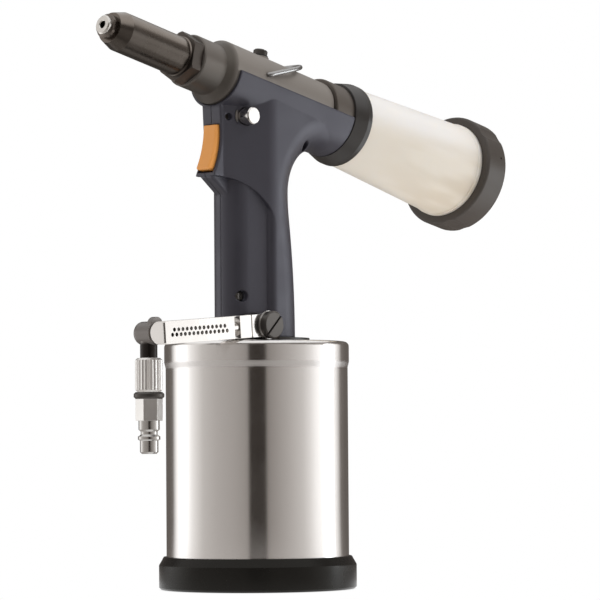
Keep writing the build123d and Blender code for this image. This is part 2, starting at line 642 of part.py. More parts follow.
# Rear housing, tank ring, tank and cap
housing = turned([
    (TAIL_R + RUN, HOUSING_PLUG), (OIL_BORE_R - FIT, HOUSING_PLUG), (OIL_BORE_R - FIT, HOUSING_FRONT),
    (HOUSING_R - 0.5, HOUSING_FRONT), (HOUSING_R, HOUSING_FRONT - 0.5), (HOUSING_R, HOUSING_REAR),
    (HOUSING_TUBE_R, HOUSING_REAR), (HOUSING_TUBE_R, HOUSING_TUBE_END), (PASSAGE_R, HOUSING_TUBE_END),
    (PASSAGE_R, HOUSING_REAR + PASSAGE_STEP), (TAIL_R + RUN, HOUSING_REAR + PASSAGE_STEP)])
under = pipe(2 * HOUSING_R, BARREL_R, HOUSING_REAR, HOUSING_FRONT + 1)
under &= Pos(-2 * HOUSING_R, 0, HOUSING_REAR) * Box(4 * HOUSING_R, 5 * HOUSING_R, 80)
nodes["rear_housing"] = HEAD * (housing - under)
socket_front = TANK_RING_REAR + SOCKET_DEPTH
nodes["tank_ring"] = HEAD * turned([
    (HOUSING_TUBE_R + FIT, HOUSING_REAR - FIT), (TANK_RING_FRONT_R, HOUSING_REAR - FIT),
    (TANK_RING_R, HOUSING_REAR - TANK_RING_BEVEL), (TANK_RING_R, TANK_RING_REAR),
    (TANK_R1 + FIT, TANK_RING_REAR), (TANK_R1 + FIT, socket_front),
    (HOUSING_TUBE_R + FIT, socket_front)])
tank_end = CAP_FRONT - CAP_LAP
bead_r = TANK_R2 + TANK_BEAD
bead_front = CAP_FRONT + FIT + TANK_BEAD_W
nodes["mandrel_tank"] = HEAD * turned([
    (TANK_R1 - TANK_WALL, socket_front - FIT), (TANK_R1, socket_front - FIT), (TANK_R1, TANK_RING_REAR),
    (TANK_R2, bead_front + TANK_BEAD), (bead_r, bead_front), (bead_r, CAP_FRONT + FIT),
    (TANK_R2, CAP_FRONT + FIT), (TANK_R2, tank_end), (TANK_R2 - TANK_WALL, tank_end),
    (TANK_R2 - TANK_WALL, bead_front), (TANK_R1 - TANK_WALL, TANK_RING_REAR)])
cap_floor = CAP_REAR + CAP_WALL
cap = turned([
    (0, CAP_REAR), (CAP_R, CAP_REAR), (CAP_R, CAP_FRONT), (TANK_R2 + RUN, CAP_FRONT),
    (TANK_R2 + RUN, tank_end - GAP), (TANK_R2 - 2 * TANK_WALL, tank_end - GAP),
    (TANK_R2 - 2 * TANK_WALL, cap_floor), (0, cap_floor)],
    [((CAP_R, CAP_REAR), CAP_ROUND), ((CAP_R, CAP_FRONT), CAP_FRONT_ROUND)])
for notch in PolarLocations(CAP_R + NOTCH_R - NOTCH_DEPTH, NOTCHES, NOTCH_TURN):
    cap -= notch * rod(NOTCH_R, CAP_REAR - 1, CAP_FRONT + 1)
for hole in PolarLocations(CAP_HOLE_CIRCLE, CAP_HOLES):
    cap -= hole * rod(CAP_HOLE_R, CAP_REAR - 1, cap_floor + 1)
dot = Rot(0, 0, CAP_DOT_TURN) * Pos(CAP_R, 0, CAP_DOT_STATION) * Rot(0, 90, 0)
cap -= dot * Cylinder(CAP_DOT_R, CAP_R - TANK_R2)
nodes["tank_cap"] = HEAD * cap

# Covers: one moulded form, hollowed for the casting and split down the middle
flare = (-COVER_R - PALM_TOP_X * TILT_SIN + (HEAD_Z - PALM_TOP_Z) * TILT_COS) / (1 + TILT_SIN)
flare_end = (PALM_TOP_X + flare * (1 + TILT_SIN), PALM_TOP_Z + flare * TILT_COS)
flare_mid = (PALM_TOP_X + flare * (1 - math.cos(math.pi / 4)), PALM_TOP_Z + flare * math.sin(math.pi / 4))
palm_bend = (PALM_TOP_X + PALM_BEND * (PALM_FOOT_X - PALM_TOP_X),
             PALM_TOP_Z + PALM_BEND * (COVER_FOOT - PALM_TOP_Z))
neck_top = at_station(COVER_FRONT, -COVER_FRONT_R)
crown_front = at_station(COVER_FRONT, -2)
crown_rear = (flare_end[0] + (COVER_R - 2) * TILT_SIN, flare_end[1] + (COVER_R - 2) * TILT_COS)
side_view = make_face([
    TangentArc((PALM_TOP_X, PALM_TOP_Z), palm_bend, tangent=(0, -1)),
    TangentArc((PALM_FOOT_X, COVER_FOOT), palm_bend, tangent=(0, 1)),
    ThreePointArc((PALM_TOP_X, PALM_TOP_Z), flare_mid, flare_end),
    Polyline(flare_end, crown_rear, crown_front, neck_top, CHEEK_TOP),
    ThreePointArc(CHEEK_TOP, CHEEK_MID, CHEEK_TIP),
    Polyline(CHEEK_TIP, (NUB_TIP_X, NUB_TOP), (NUB_TIP_X, NUB_TOP - NUB_FRONT), ARCH_FRONT),
    ThreePointArc(ARCH_FRONT, ARCH_MID, (STEP_X, STEP_TOP_Z)),
    Polyline((STEP_X, STEP_TOP_Z), (STEP_X, COVER_FOOT), (PALM_FOOT_X, COVER_FOOT))])
plan_front = TRIGGER_TIP[0] - 5
plan = outline([
    (plan_front, -NECK_HALF), (NECK_X, -NECK_HALF), (FLANK_END_X, -HALF_WIDTH), (PLAN_REAR_X, -HALF_WIDTH),
    (PLAN_REAR_X, HALF_WIDTH), (FLANK_END_X, HALF_WIDTH), (NECK_X, NECK_HALF), (plan_front, NECK_HALF)],
    [((FLANK_END_X, -HALF_WIDTH), FLANK_ROUND), ((FLANK_END_X, HALF_WIDTH), FLANK_ROUND)])
body = slab(side_view, 2 * HALF_WIDTH) & extrude(Pos(0, 0, COVER_FOOT - 5) * plan, HEAD_Z)


for side in (-1, 1):
    outer = ("Y", side * HALF_WIDTH - 0.01, side * HALF_WIDTH + 0.01)
    palm = edges_near(body, [outer, ("X", PALM_TOP_X - 1, flare_end[0] - 1),
                             ("Z", COVER_FOOT + 1, flare_end[1] - 1)])
    body = fillet(palm, PALM_ROUND)
    step = edges_near(body, [("X", STEP_X - 0.01, STEP_X + 0.01), ("Y", side * 17 - 3, side * 17 + 3),
                             ("Z", COVER_FOOT + 1, STEP_TOP_Z - 1)])
    body = fillet(step, STEP_ROUND)
    neck = edges_near(body, [("X", CHEEK_TIP[0], NECK_X - 0.1), ("Z", CHEEK_TIP[1], neck_top[1]),
                             ("Y", side * NECK_HALF - 0.01, side * NECK_HALF + 0.01)])
    body = fillet(neck, NECK_ROUND)
trough = turned([
    (0, HOUSING_REAR), (COVER_R, HOUSING_REAR), (COVER_FRONT_R, COVER_FRONT), (0, COVER_FRONT)])
body += HEAD * (trough & Pos(-COVER_R - PARTING, 0, 0) * Box(2 * COVER_R, 3 * COVER_R, 300))
lobes = Circle(FINGER_REAR_R) + Pos(FINGER_X, 0) * Circle(FINGER_R)
body += extrude(Pos(0, 0, COVER_FOOT) * make_hull(lobes.edges()), FINGER_TOP - COVER_FOOT)
ridge_top = NUB_TOP - NUB_FRONT
ridge = slab(outline([
    RIDGE_FOOT, (RIDGE_FOOT[0], ridge_top), (NUB_TIP_X + 0.6, ridge_top), (NUB_TIP_X + 0.6, ridge_top - 1),
    RIDGE_MID]), RIDGE_HALF)
ridge_edges = edges_near(ridge, [("X", NUB_TIP_X + 1, RIDGE_FOOT[0] - 1),
                                 ("Z", RIDGE_FOOT[1], ridge_top - 1)])
body += fillet([edge for edge in ridge_edges if abs((edge @ 0.5).Y) > RIDGE_HALF / 2], RIDGE_ROUND)

# Room inside the covers
room = pillar(COVER_GAP, COVER_FOOT - 1, HEAD_Z)
room += HEAD * rod(BARREL_R + COVER_GAP, HOUSING_REAR - 1, COVER_FRONT + 1)
room += cross_rod(SUCTION_BOSS_R + COVER_GAP, SUCTION_X, SUCTION_Z, *SUCTION_BOSS_Y)
room += cross_rod(SUCTION_R + GAP, SUCTION_X, SUCTION_Z, SUCTION_BOSS_Y[0] + 1, -2 * HALF_WIDTH)
room += cross_rod(BOSS_R + COVER_GAP, BANJO_X, BANJO_Z, -2 * HALF_WIDTH, -BANJO_END_Y + COVER_GAP)
room += long_rod(BUSH_R + COVER_GAP, SLOT_BACK_X - 1, PILLAR_FRONT_X, VALVE_Z)
slot_half = TRIGGER_HALF + SLOT_SIDE
slot_top = TRIGGER_TOP[1] + SLOT_SIDE
room += slab(outline([
    (plan_front, NUB_TOP), (NUB_TIP_X + LIP_T, NUB_TOP), (NUB_TIP_X + LIP_T, NUB_TOP - LIP_H),
    (SLOT_BACK_X, NUB_TOP - LIP_H), (SLOT_BACK_X, slot_top), (plan_front, slot_top)]), slot_half)
hub_half = HUB_HALF + SLOT_SIDE
hub_room = HUB_R + SLOT_SIDE
room += cross_rod(hub_room, *PIVOT, -hub_half, hub_half)
room += slab(outline([
    (PIVOT[0] - hub_room, slot_top - 1), (PIVOT[0] + hub_room, slot_top - 1),
    (PIVOT[0] + hub_room, PIVOT[1]), (PIVOT[0] - hub_room, PIVOT[1])]), hub_half)
room += cross_rod(PIVOT_R + FIT, *PIVOT, -PIN_HALF, PIN_HALF)
for side in (-1, 1):
    room += cross_rod(PIN_HOLE_R, *PIVOT, side * PIN_HALF, side * 2 * HALF_WIDTH)
for (x, z), seat in COVER_SCREWS:
    room += cross_rod(SCREW_HOLE_R, x, z, seat - SCREW_HEAD_T - GAP, -2 * HALF_WIDTH)
    room += cross_rod(SCREW_HEAD_R + FIT, x, z, seat, seat - SCREW_HEAD_T - 1)
    room += cross_rod(SCREW_R + FIT, x, z, seat - 1, SCREW_END_Y)
shells = body - room
split = Box(400, 200, 800)
nodes["left_cover"] = shells & Pos(0, -100 - PARTING, 0) * split
nodes["right_cover"] = shells & Pos(0, 100 + PARTING, 0) * split


def across(shape, x, z):
    """Place a shape turned about Z so that its axis runs along Y through (x, z)."""
    return Pos(x, 0, z) * Rot(-90, 0, 0) * shape


def cross_screw(seat):
    """Pan-head screw whose head bears on a seat at y = seat, with a driving slot."""
    screw = turned([
        (0, seat - SCREW_HEAD_T), (SCREW_HEAD_R - 0.8, seat - SCREW_HEAD_T),
        (SCREW_HEAD_R, seat - SCREW_HEAD_T + 0.8), (SCREW_HEAD_R, seat), (SCREW_R, seat),
        (SCREW_R, SCREW_END_Y - 0.5), (0, SCREW_END_Y - 0.5)])
    return screw - Pos(0, 0, seat - SCREW_HEAD_T) * Box(SCREW_SLOT, 4 * SCREW_HEAD_R, 2 * SCREW_SLOT)


screws = [across(cross_screw(seat), x, z) for (x, z), seat in COVER_SCREWS]
nodes["cover_screws"] = Compound(children=[screw.solid() for screw in screws])

# Trigger, its pin and its valve
blade = make_face([
    ThreePointArc(TRIGGER_TOP, TRIGGER_MID, TRIGGER_TIP),
    Polyline(TRIGGER_TIP, TRIGGER_HEEL, (TRIGGER_BACK_X, TRIGGER_HEEL[1] + TRIGGER_HEEL_RISE),
             (TRIGGER_BACK_X, TRIGGER_TOP[1]), TRIGGER_TOP)])
tip_corner = [v for v in blade.vertices() if math.hypot(v.X - TRIGGER_TIP[0], v.Y - TRIGGER_TIP[1]) < 1e-6]
trigger = slab(fillet(tip_corner, TRIGGER_ROUND), TRIGGER_HALF)
front_edges = edges_near(trigger, [("X", TRIGGER_TIP[0], TRIGGER_MID[0] + 0.5),
                                   ("Z", TRIGGER_MID[1] - 3, TRIGGER_MID[1] + 3)])
trigger = fillet(front_edges, TRIGGER_ROUND)
arm = outline([
    (PIVOT[0] - HUB_R, TRIGGER_TOP[1] - TRIGGER_ARM_ROOT),
    (TRIGGER_BACK_X, TRIGGER_TOP[1] - TRIGGER_ARM_ROOT),
    (PIVOT[0] + HUB_R, PIVOT[1]), (PIVOT[0] - HUB_R, PIVOT[1])])
trigger += slab(arm, HUB_HALF) + cross_rod(HUB_R, *PIVOT, -HUB_HALF, HUB_HALF)
nodes["trigger"] = trigger - cross_rod(PIVOT_R + RUN, *PIVOT, -PIN_HALF, PIN_HALF)
nodes["trigger_pin"] = cross_rod(PIVOT_R, *PIVOT, -PIN_HALF, PIN_HALF)
rod_front = TRIGGER_BACK_X + GAP
collar_front, collar_rear = VALVE_COLLAR
valve_rod = turned([
    (0, rod_front), (VALVE_ROD_R - VALVE_ROD_CHAMFER, rod_front),
    (VALVE_ROD_R, rod_front + VALVE_ROD_CHAMFER), (VALVE_ROD_R, collar_front),
    (VALVE_COLLAR_R, collar_front), (VALVE_COLLAR_R, collar_rear), (VALVE_ROD_R, collar_rear),
    (VALVE_ROD_R, VALVE_ROD_END), (0, VALVE_ROD_END)])
nodes["valve_rod"] = Pos(0, 0, VALVE_Z) * Rot(0, 90, 0) * valve_rod
bush = long_rod(BUSH_R, BUSH_FRONT, BUSH_REAR - FIT, VALVE_Z)
nodes["valve_bush"] = bush - long_rod(VALVE_ROD_R + RUN, BUSH_FRONT - 1, BUSH_REAR + 1, VALVE_Z)
valve_coil = spring(VALVE_COIL_R, VALVE_WIRE_R, VALVE_COLLAR[1], BUSH_FRONT, VALVE_TURNS)
nodes["valve_spring"] = Pos(0, 0, VALVE_Z) * Rot(0, 90, 0) * valve_coil

# Suction button
button = turned([
    (0, SUCTION_FACE_Y), (SUCTION_R - 0.5, SUCTION_FACE_Y), (SUCTION_R, SUCTION_FACE_Y + 0.5),
    (SUCTION_R, SUCTION_END_Y), (0, SUCTION_END_Y)])
nodes["suction_button"] = across(button, SUCTION_X, SUCTION_Z)

# Oil plug, washer and hanger on the barrel
upward = HEAD * Rot(0, 90, 0)
washer_top = PLUG_FLAT + PLUG_WASHER_T
nodes["plug_washer"] = upward * pipe(PLUG_WASHER_R, PLUG_R + FIT, PLUG_FLAT, washer_top)
plug = turned([
    (0, OIL_BORE_R + 0.5), (PLUG_R, OIL_BORE_R + 0.5), (PLUG_R, washer_top), (PLUG_HEAD_R, washer_top),
    (PLUG_HEAD_R, washer_top + PLUG_HEAD_T - 0.6), (PLUG_HEAD_R - 0.6, washer_top + PLUG_HEAD_T),
    (0, washer_top + PLUG_HEAD_T)])
plug -= Pos(0, 0, washer_top + PLUG_HEAD_T) * Box(PLUG_SLOT, 4 * PLUG_HEAD_R, 2 * PLUG_SLOT)
nodes["oil_plug"] = upward * plug

lean_sin = math.sin(math.radians(HANGER_LEAN))
lean_cos = math.cos(math.radians(HANGER_LEAN))
bail_plane = Plane((0, 0, 0), x_dir=(lean_sin, 0, -lean_cos), z_dir=(lean_cos, 0, lean_sin))
near_leg = (HANGER_LEG, -HANGER_HALF)
far_leg = (HANGER_LEG, HANGER_HALF)
route = FilletPolyline((0, -HANGER_END), (0, -HANGER_HALF), near_leg, radius=HANGER_BEND)
route += ThreePointArc(near_leg, (HANGER_LEG + HANGER_HALF, 0), far_leg)
route += FilletPolyline(far_leg, (0, HANGER_HALF), (0, HANGER_END), radius=HANGER_BEND)
wire_start = Plane((0, -HANGER_END, 0), z_dir=(0, -1, 0)) * Circle(HANGER_WIRE_R)
nodes["hanger"] = hanger_axis * bail_plane.location * sweep(wire_start, route)

# Inlet arm: banjo bolt, washers, eye, muffler block and silencer
# In the arm's own frame x runs outwards, z up, and y is minus the part's y.
arm_half = ARM_H / 2
arm_mid = -(ARM_FACE_Y + ARM_BACK_Y) / 2


def d_bar(start, end, inset=0.0):
    """Bar with a flat outer face and a round back."""
    half = arm_half - inset
    face_y = -ARM_FACE_Y - inset
    centre_y = -ARM_BACK_Y + arm_half
    face = make_face([
        Polyline((centre_y, -half), (face_y, -half), (face_y, half), (centre_y, half)),
        ThreePointArc((centre_y, half), (centre_y - half, 0), (centre_y, -half))])
    return Pos(start, 0, 0) * extrude(Plane.YZ * face, end - start)


def along_arm(radius, start, end):
    return Pos((start + end) / 2, arm_mid, 0) * Rot(0, 90, 0) * Cylinder(radius, end - start)


def into_arm(radius, station, rise, y0, y1):
    """Cylinder across the arm between two of the part's y values."""
    return Pos(station, -(y0 + y1) / 2, rise) * Rot(90, 0, 0) * Cylinder(radius, abs(y1 - y0))


stem_end = BLOCK_START + ARM_STEM
groove_start, groove_end = ARM_GROOVE
eye = into_arm(EYE_R, 0, 0, ARM_FACE_Y, ARM_BACK_Y) + d_bar(0, groove_start) + d_bar(groove_end, EYE_END)
eye += d_bar(groove_start, groove_end, ARM_GROOVE_DEPTH)
eye += along_arm(NECK_R, EYE_END - 1, BLOCK_START) + along_arm(SILENCER_R - FIT, BLOCK_START - 1, stem_end)
eye -= into_arm(BANJO_R + FIT, 0, 0, ARM_FACE_Y - 1, ARM_BACK_Y + 1)
eye -= along_arm(ARM_BORE_R, 0, stem_end + 1)
nodes["banjo_eye"] = ARM * eye
block = d_bar(BLOCK_START, BLOCK_END - 1) + d_bar(BLOCK_END - 1, BLOCK_END, 0.7)
block -= along_arm(SILENCER_R, BLOCK_START - 1, SILENCER_END)
for row, count in enumerate(EXHAUST_HOLES):
    rise = EXHAUST_ROWS * (0.5 - row)
    for index in range(count):
        station = EXHAUST_START + (index - row / 2 + 0.5) * EXHAUST_PITCH
        block -= into_arm(EXHAUST_R, station, rise, ARM_FACE_Y - 1, -arm_mid)
block -= into_arm(SWIVEL_PIN_R + FIT, ELBOW_STATION, 0, SWIVEL_PIN_Y[0], ARM_BACK_Y + 1)
nodes["muffler_block"] = ARM * block
core = along_arm(SILENCER_R - FIT, stem_end + FIT, SILENCER_END - FIT)
nodes["muffler_core"] = ARM * (core - along_arm(ARM_BORE_R, stem_end - 1, SILENCER_END + 1))
outer_washer = ARM_FACE_Y - WASHER_T
washers = [across(pipe(WASHER_R, BANJO_R + FIT, y, y + WASHER_T), BANJO_X, BANJO_Z)
           for y in (ARM_BACK_Y, outer_washer)]
nodes["banjo_washers"] = Compound(children=[washer.solid() for washer in washers])
bolt_face = outer_washer - BANJO_HEAD_T
bolt = turned([
    (0, bolt_face), (BANJO_HEAD_R - 0.7, bolt_face), (BANJO_HEAD_R, bolt_face + 0.7),
    (BANJO_HEAD_R, outer_washer), (BANJO_R, outer_washer), (BANJO_R, BANJO_END_Y - 1.5),
    (0, BANJO_END_Y - 1.5)])
bolt -= Pos(0, 0, bolt_face) * Rot(0, 0, BANJO_SLOT_TURN) * Box(BANJO_SLOT, 4 * BANJO_HEAD_R, 3)
nodes["banjo_bolt"] = across(bolt, BANJO_X, BANJO_Z)

# Swivel elbow on its hollow pin
elbow_x = BANJO_X - ELBOW_STATION * ARM_COS
elbow_z = BANJO_Z - ELBOW_STATION * ARM_SIN
pin = pipe(SWIVEL_PIN_R, SWIVEL_PIN_BORE, *SWIVEL_PIN_Y)
nodes["elbow_pin"] = across(pin, elbow_x, elbow_z)
elbow_face = ARM_BACK_Y + GAP
knuckle = turned([
    (0, elbow_face), (ELBOW_R, elbow_face), (ELBOW_R, ELBOW_END_Y), (0, ELBOW_END_Y)],
    [((ELBOW_R, ELBOW_END_Y), ELBOW_ROUND)])
drop_foot = elbow_z - DROP_LEN
drop = Pos(elbow_x, DROP_Y, 0)
elbow = across(knuckle, elbow_x, elbow_z) + drop * rod(DROP_R, elbow_z, drop_foot)
lug_z = elbow_z + ELBOW_LUG_RISE
elbow += cross_rod(ELBOW_LUG_R, elbow_x, lug_z, elbow_face, elbow_face + ELBOW_LUG_T)
elbow -= across(rod(SWIVEL_PIN_R + RUN, elbow_face - 1, SWIVEL_PIN_Y[1] + GAP), elbow_x, elbow_z)
nodes["elbow"] = elbow - drop * rod(STEM_R + RUN, drop_foot - 1, STEM_TOP + GAP)

# Air plug and the pieces that turn with it under the elbow
collar_seat = drop_foot - GAP
teeth = []
for index in range(2 * KNURLS):
    radius = KNURL_COLLAR_R - KNURL_DEPTH * (index % 2)
    angle = math.pi * index / KNURLS
    teeth.append((radius * math.cos(angle), radius * math.sin(angle)))
ring = extrude(Pos(0, 0, COLLAR_FOOT) * outline(teeth), COLLAR_TOP - COLLAR_FOOT)
knurl_end_r = KNURL_COLLAR_R - KNURL_EDGE
ring &= turned([
    (0, COLLAR_FOOT), (knurl_end_r, COLLAR_FOOT), (KNURL_COLLAR_R, COLLAR_FOOT + KNURL_EDGE),
    (KNURL_COLLAR_R, COLLAR_TOP - KNURL_EDGE), (knurl_end_r, COLLAR_TOP), (0, COLLAR_TOP)])
ring -= rod(DROP_R + RUN, collar_seat, COLLAR_TOP + 1)
ring -= rod(STEM_R + FIT, COLLAR_FOOT - 1, collar_seat + 1)
nodes["swivel_collar"] = drop * ring
rim_r = SWIVEL_WASHER_R - SWIVEL_WASHER_BEVEL
nodes["swivel_washer"] = drop * turned([
    (STEM_R + FIT, HEX_TOP), (rim_r, HEX_TOP), (SWIVEL_WASHER_R, HEX_TOP + SWIVEL_WASHER_BEVEL),
    (SWIVEL_WASHER_R, COLLAR_FOOT - SWIVEL_WASHER_BEVEL), (rim_r, COLLAR_FOOT),
    (STEM_R + FIT, COLLAR_FOOT)])
adaptor = Rot(0, 0, HEX_TURN) * hexagon(HEX_AF, PLUG_TOP, HEX_TOP) + rod(STEM_R, HEX_TOP - 1, STEM_TOP)
thread_top = PLUG_TOP + PLUG_THREAD
adaptor -= rod(PLUG_THREAD_R + FIT, PLUG_TOP - 1, thread_top)
adaptor -= rod(PLUG_BORE_R, PLUG_TOP, STEM_TOP + 1)
nodes["hex_adaptor"] = drop * adaptor
ring_foot, ring_top = NIPPLE_RING_Z
nipple = turned([
    (PLUG_BORE_R, PLUG_FOOT), (NIPPLE_HEAD_R - 1, PLUG_FOOT), (NIPPLE_HEAD_R, PLUG_FOOT + 1),
    (NIPPLE_HEAD_R, ring_foot - 0.6), (NIPPLE_RING_R, ring_foot), (NIPPLE_RING_R, ring_top),
    (NIPPLE_WAIST_R, ring_top + 1), (NIPPLE_WAIST_R, NIPPLE_NECK_Z - 1), (NIPPLE_R, NIPPLE_NECK_Z),
    (NIPPLE_R, PLUG_TOP), (PLUG_THREAD_R, PLUG_TOP), (PLUG_THREAD_R, thread_top - 0.5),
    (PLUG_BORE_R, thread_top - 0.5)])
nodes["air_plug"] = drop * nipple

# One file for each piece
os.makedirs("parts", exist_ok=True)
for name, shape in nodes.items():
    export_step(shape, f"parts/{name}.step")
print(len(nodes), "pieces written")
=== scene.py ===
# %% [markdown]
# # An air hydraulic riveter, from its solid model to a studio picture
# The solid model already holds every piece at its real size. This lesson gives each piece the
# finish that the real one has, then sets up the camera and a plain white studio.
# The first cell loads the model as a fixed frame.

import json
import math

import bpy
from mathutils import Matrix, Vector


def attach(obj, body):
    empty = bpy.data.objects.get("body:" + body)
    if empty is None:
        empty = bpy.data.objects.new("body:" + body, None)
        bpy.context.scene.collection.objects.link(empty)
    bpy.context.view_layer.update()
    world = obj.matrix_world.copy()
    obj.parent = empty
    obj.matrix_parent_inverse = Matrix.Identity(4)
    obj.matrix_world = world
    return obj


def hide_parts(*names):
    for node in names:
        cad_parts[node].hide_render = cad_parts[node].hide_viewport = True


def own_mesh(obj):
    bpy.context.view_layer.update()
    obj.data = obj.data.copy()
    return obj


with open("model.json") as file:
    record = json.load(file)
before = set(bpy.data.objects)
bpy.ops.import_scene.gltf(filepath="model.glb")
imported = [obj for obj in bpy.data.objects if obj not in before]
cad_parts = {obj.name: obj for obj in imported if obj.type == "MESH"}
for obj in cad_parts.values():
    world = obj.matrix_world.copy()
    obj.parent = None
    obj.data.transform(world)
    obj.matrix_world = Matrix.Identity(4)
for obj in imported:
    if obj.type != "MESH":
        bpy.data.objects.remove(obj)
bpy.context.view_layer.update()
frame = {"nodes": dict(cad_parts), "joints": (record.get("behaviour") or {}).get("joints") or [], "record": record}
slot_of = {part["node"]: part["material_slot"] for part in frame["record"]["subparts"]}
print(len(frame["nodes"]), "pieces in", len(set(slot_of.values())), "finishes")

# %% [markdown]
# ## The camera
# The picture was taken with a long lens from low down, a little to the left of the trigger.
# A long lens keeps the upright sides of the cylinder almost parallel. The place, the two angles
# and the small roll were worked out from the cylinder's edges, which are known to be upright
# and 96 mm apart. Building the matrix from three directions avoids guessing at Euler angles.

# %% Camera
CAMERA_PLACE = Vector((-1.2521, -1.2092, 0.0747))
CAMERA_YAW = math.radians(46.76)      # from +Y towards +X
CAMERA_PITCH = math.radians(2.533)    # upwards
CAMERA_ROLL = math.radians(0.41)
CAMERA_LENS = 198.0
FILM_WIDTH = 36.0

ahead = Vector((math.sin(CAMERA_YAW) * math.cos(CAMERA_PITCH),
                math.cos(CAMERA_YAW) * math.cos(CAMERA_PITCH), math.sin(CAMERA_PITCH)))
level_right = Vector((math.cos(CAMERA_YAW), -math.sin(CAMERA_YAW), 0.0))
level_up = level_right.cross(ahead)
camera_right = level_right * math.cos(CAMERA_ROLL) - level_up * math.sin(CAMERA_ROLL)
camera_up = level_up * math.cos(CAMERA_ROLL) + level_right * math.sin(CAMERA_ROLL)

camera_data = bpy.data.cameras.new("studio_camera")
camera_data.lens = CAMERA_LENS
camera_data.sensor_width = FILM_WIDTH
camera = bpy.data.objects.new("studio_camera", camera_data)
turn = Matrix((camera_right, camera_up, -ahead)).transposed()
camera.matrix_world = Matrix.Translation(CAMERA_PLACE) @ turn.to_4x4()
bpy.context.scene.collection.objects.link(camera)
bpy.context.scene.camera = camera
print("camera", [round(v, 3) for v in camera.matrix_world.translation])

# %% [markdown]
# ## Helpers for building node trees
# A material is a small graph. Three short helpers keep the cells readable: one adds a node and
# sets its inputs, one joins two sockets, and one starts a material with a Principled shader.

# %% Node helpers
def add(tree, kind, at=(0, 0), settings=None, **inputs):
    """Add a node, set its properties and its input values by socket name."""
    node = tree.nodes.new(kind)
    node.location = at
    for key, value in (settings or {}).items():
        setattr(node, key, value)
    for name, value in inputs.items():
        node.inputs[name.replace("_", " ")].default_value = value
    return node


def join(tree, source, target):
    tree.links.new(source, target)


def start_finish(name):
    """A new material with its Principled shader, ready for its own values."""
    material = bpy.data.materials.new(name)
    material.use_nodes = True
    tree = material.node_tree
    return material, tree, tree.nodes["Principled BSDF"]


def maths(tree, operation, a, b=None, at=(0, 0)):
    """A Math node whose inputs are sockets or numbers; gives its output."""
    node = add(tree, "ShaderNodeMath", at, {"operation": operation})
    for socket, value in zip(node.inputs, (a, b)):
        if value is None:
            continue
        if isinstance(value, (int, float)):
            socket.default_value = value
        else:
            join(tree, value, socket)
    return node.outputs[0]


print("helpers ready")

# %% [markdown]
# ## Shared effects as node groups
# Several finishes need the same effects, so each effect is built once as a node group with named
# inputs and outputs. The first one softens sharp edges: a Bevel node looks at the surfaces
# nearby and bends the normal round the corner, as a real broken edge does. Comparing that normal
# with the flat one also gives a mask of the edges, where handling rubs the finish.

# %% Soft edges
def start_group(name, inputs, outputs):
    """A shader node group; inputs are (name, socket type, default), outputs (name, socket type)."""
    group = bpy.data.node_groups.new(name, "ShaderNodeTree")
    for label, kind, value in inputs:
        socket = group.interface.new_socket(name=label, in_out="INPUT", socket_type=kind)
        socket.default_value = value
    for label, kind in outputs:
        group.interface.new_socket(name=label, in_out="OUTPUT", socket_type=kind)
    return group, add(group, "NodeGroupInput", (-600, 0)), add(group, "NodeGroupOutput", (600, 0))


FLOAT, VECTOR = "NodeSocketFloat", "NodeSocketVector"

soft_edges, entry, leave = start_group(
    "soft_edges", [("Radius", FLOAT, 0.0003), ("Wear", FLOAT, 1.0)],
    [("Normal", VECTOR), ("Edge", FLOAT)])
bevel = add(soft_edges, "ShaderNodeBevel", (-300, 0), {"samples": 4})
flat = add(soft_edges, "ShaderNodeNewGeometry", (-300, -200))
agree = add(soft_edges, "ShaderNodeVectorMath", (-100, -100), {"operation": "DOT_PRODUCT"})
patchy = add(soft_edges, "ShaderNodeTexNoise", (-300, -450), Scale=900.0, Detail=4.0)
join(soft_edges, entry.outputs["Radius"], bevel.inputs["Radius"])
join(soft_edges, bevel.outputs["Normal"], agree.inputs[0])
join(soft_edges, flat.outputs["Normal"], agree.inputs[1])
corner = maths(soft_edges, "SUBTRACT", 1.0, agree.outputs["Value"], (60, -100))
rubbed = maths(soft_edges, "MULTIPLY", corner, patchy.outputs["Fac"], (180, -150))
scaled = maths(soft_edges, "MULTIPLY", rubbed, entry.outputs["Wear"], (300, -150))
edge = add(soft_edges, "ShaderNodeClamp", (430, -150))
join(soft_edges, scaled, edge.inputs["Value"])
join(soft_edges, bevel.outputs["Normal"], leave.inputs["Normal"])
join(soft_edges, edge.outputs[0], leave.inputs["Edge"])
print("group", soft_edges.name)

# %% [markdown]
# Moulded plastic isn't smooth: the mould is spark eroded or blasted, and that fine stipple is what
# makes the covers look satin instead of glossy. Fine noise gives the stipple's height, and slow
# noise gives the faint clouding that a large moulding shows. Position is read in the object's own
# metres, so the grain keeps its real size on every piece.

# %% Mould grain
mould_grain, entry, leave = start_group(
    "mould_grain", [("Grain", FLOAT, 2500.0), ("Cloud", FLOAT, 40.0)],
    [("Height", FLOAT), ("Clouding", FLOAT)])
place = add(mould_grain, "ShaderNodeTexCoord", (-600, -200))
stipple = add(mould_grain, "ShaderNodeTexNoise", (-200, 100), Detail=3.0, Roughness=0.6)
clouds = add(mould_grain, "ShaderNodeTexNoise", (-200, -200), Detail=4.0)
for noise, label in ((stipple, "Grain"), (clouds, "Cloud")):
    join(mould_grain, place.outputs["Object"], noise.inputs["Vector"])
    join(mould_grain, entry.outputs[label], noise.inputs["Scale"])
join(mould_grain, stipple.outputs["Fac"], leave.inputs["Height"])
join(mould_grain, clouds.outputs["Fac"], leave.inputs["Clouding"])
print("group", mould_grain.name)

# %% [markdown]
# Turned and ground metal carries fine lines that run round its axis. A point's distance along that
# axis is a dot product, and noise that depends on this distance alone gives rings. The same group
# serves the upright cylinder and the tilted nose, because the axis is an input.

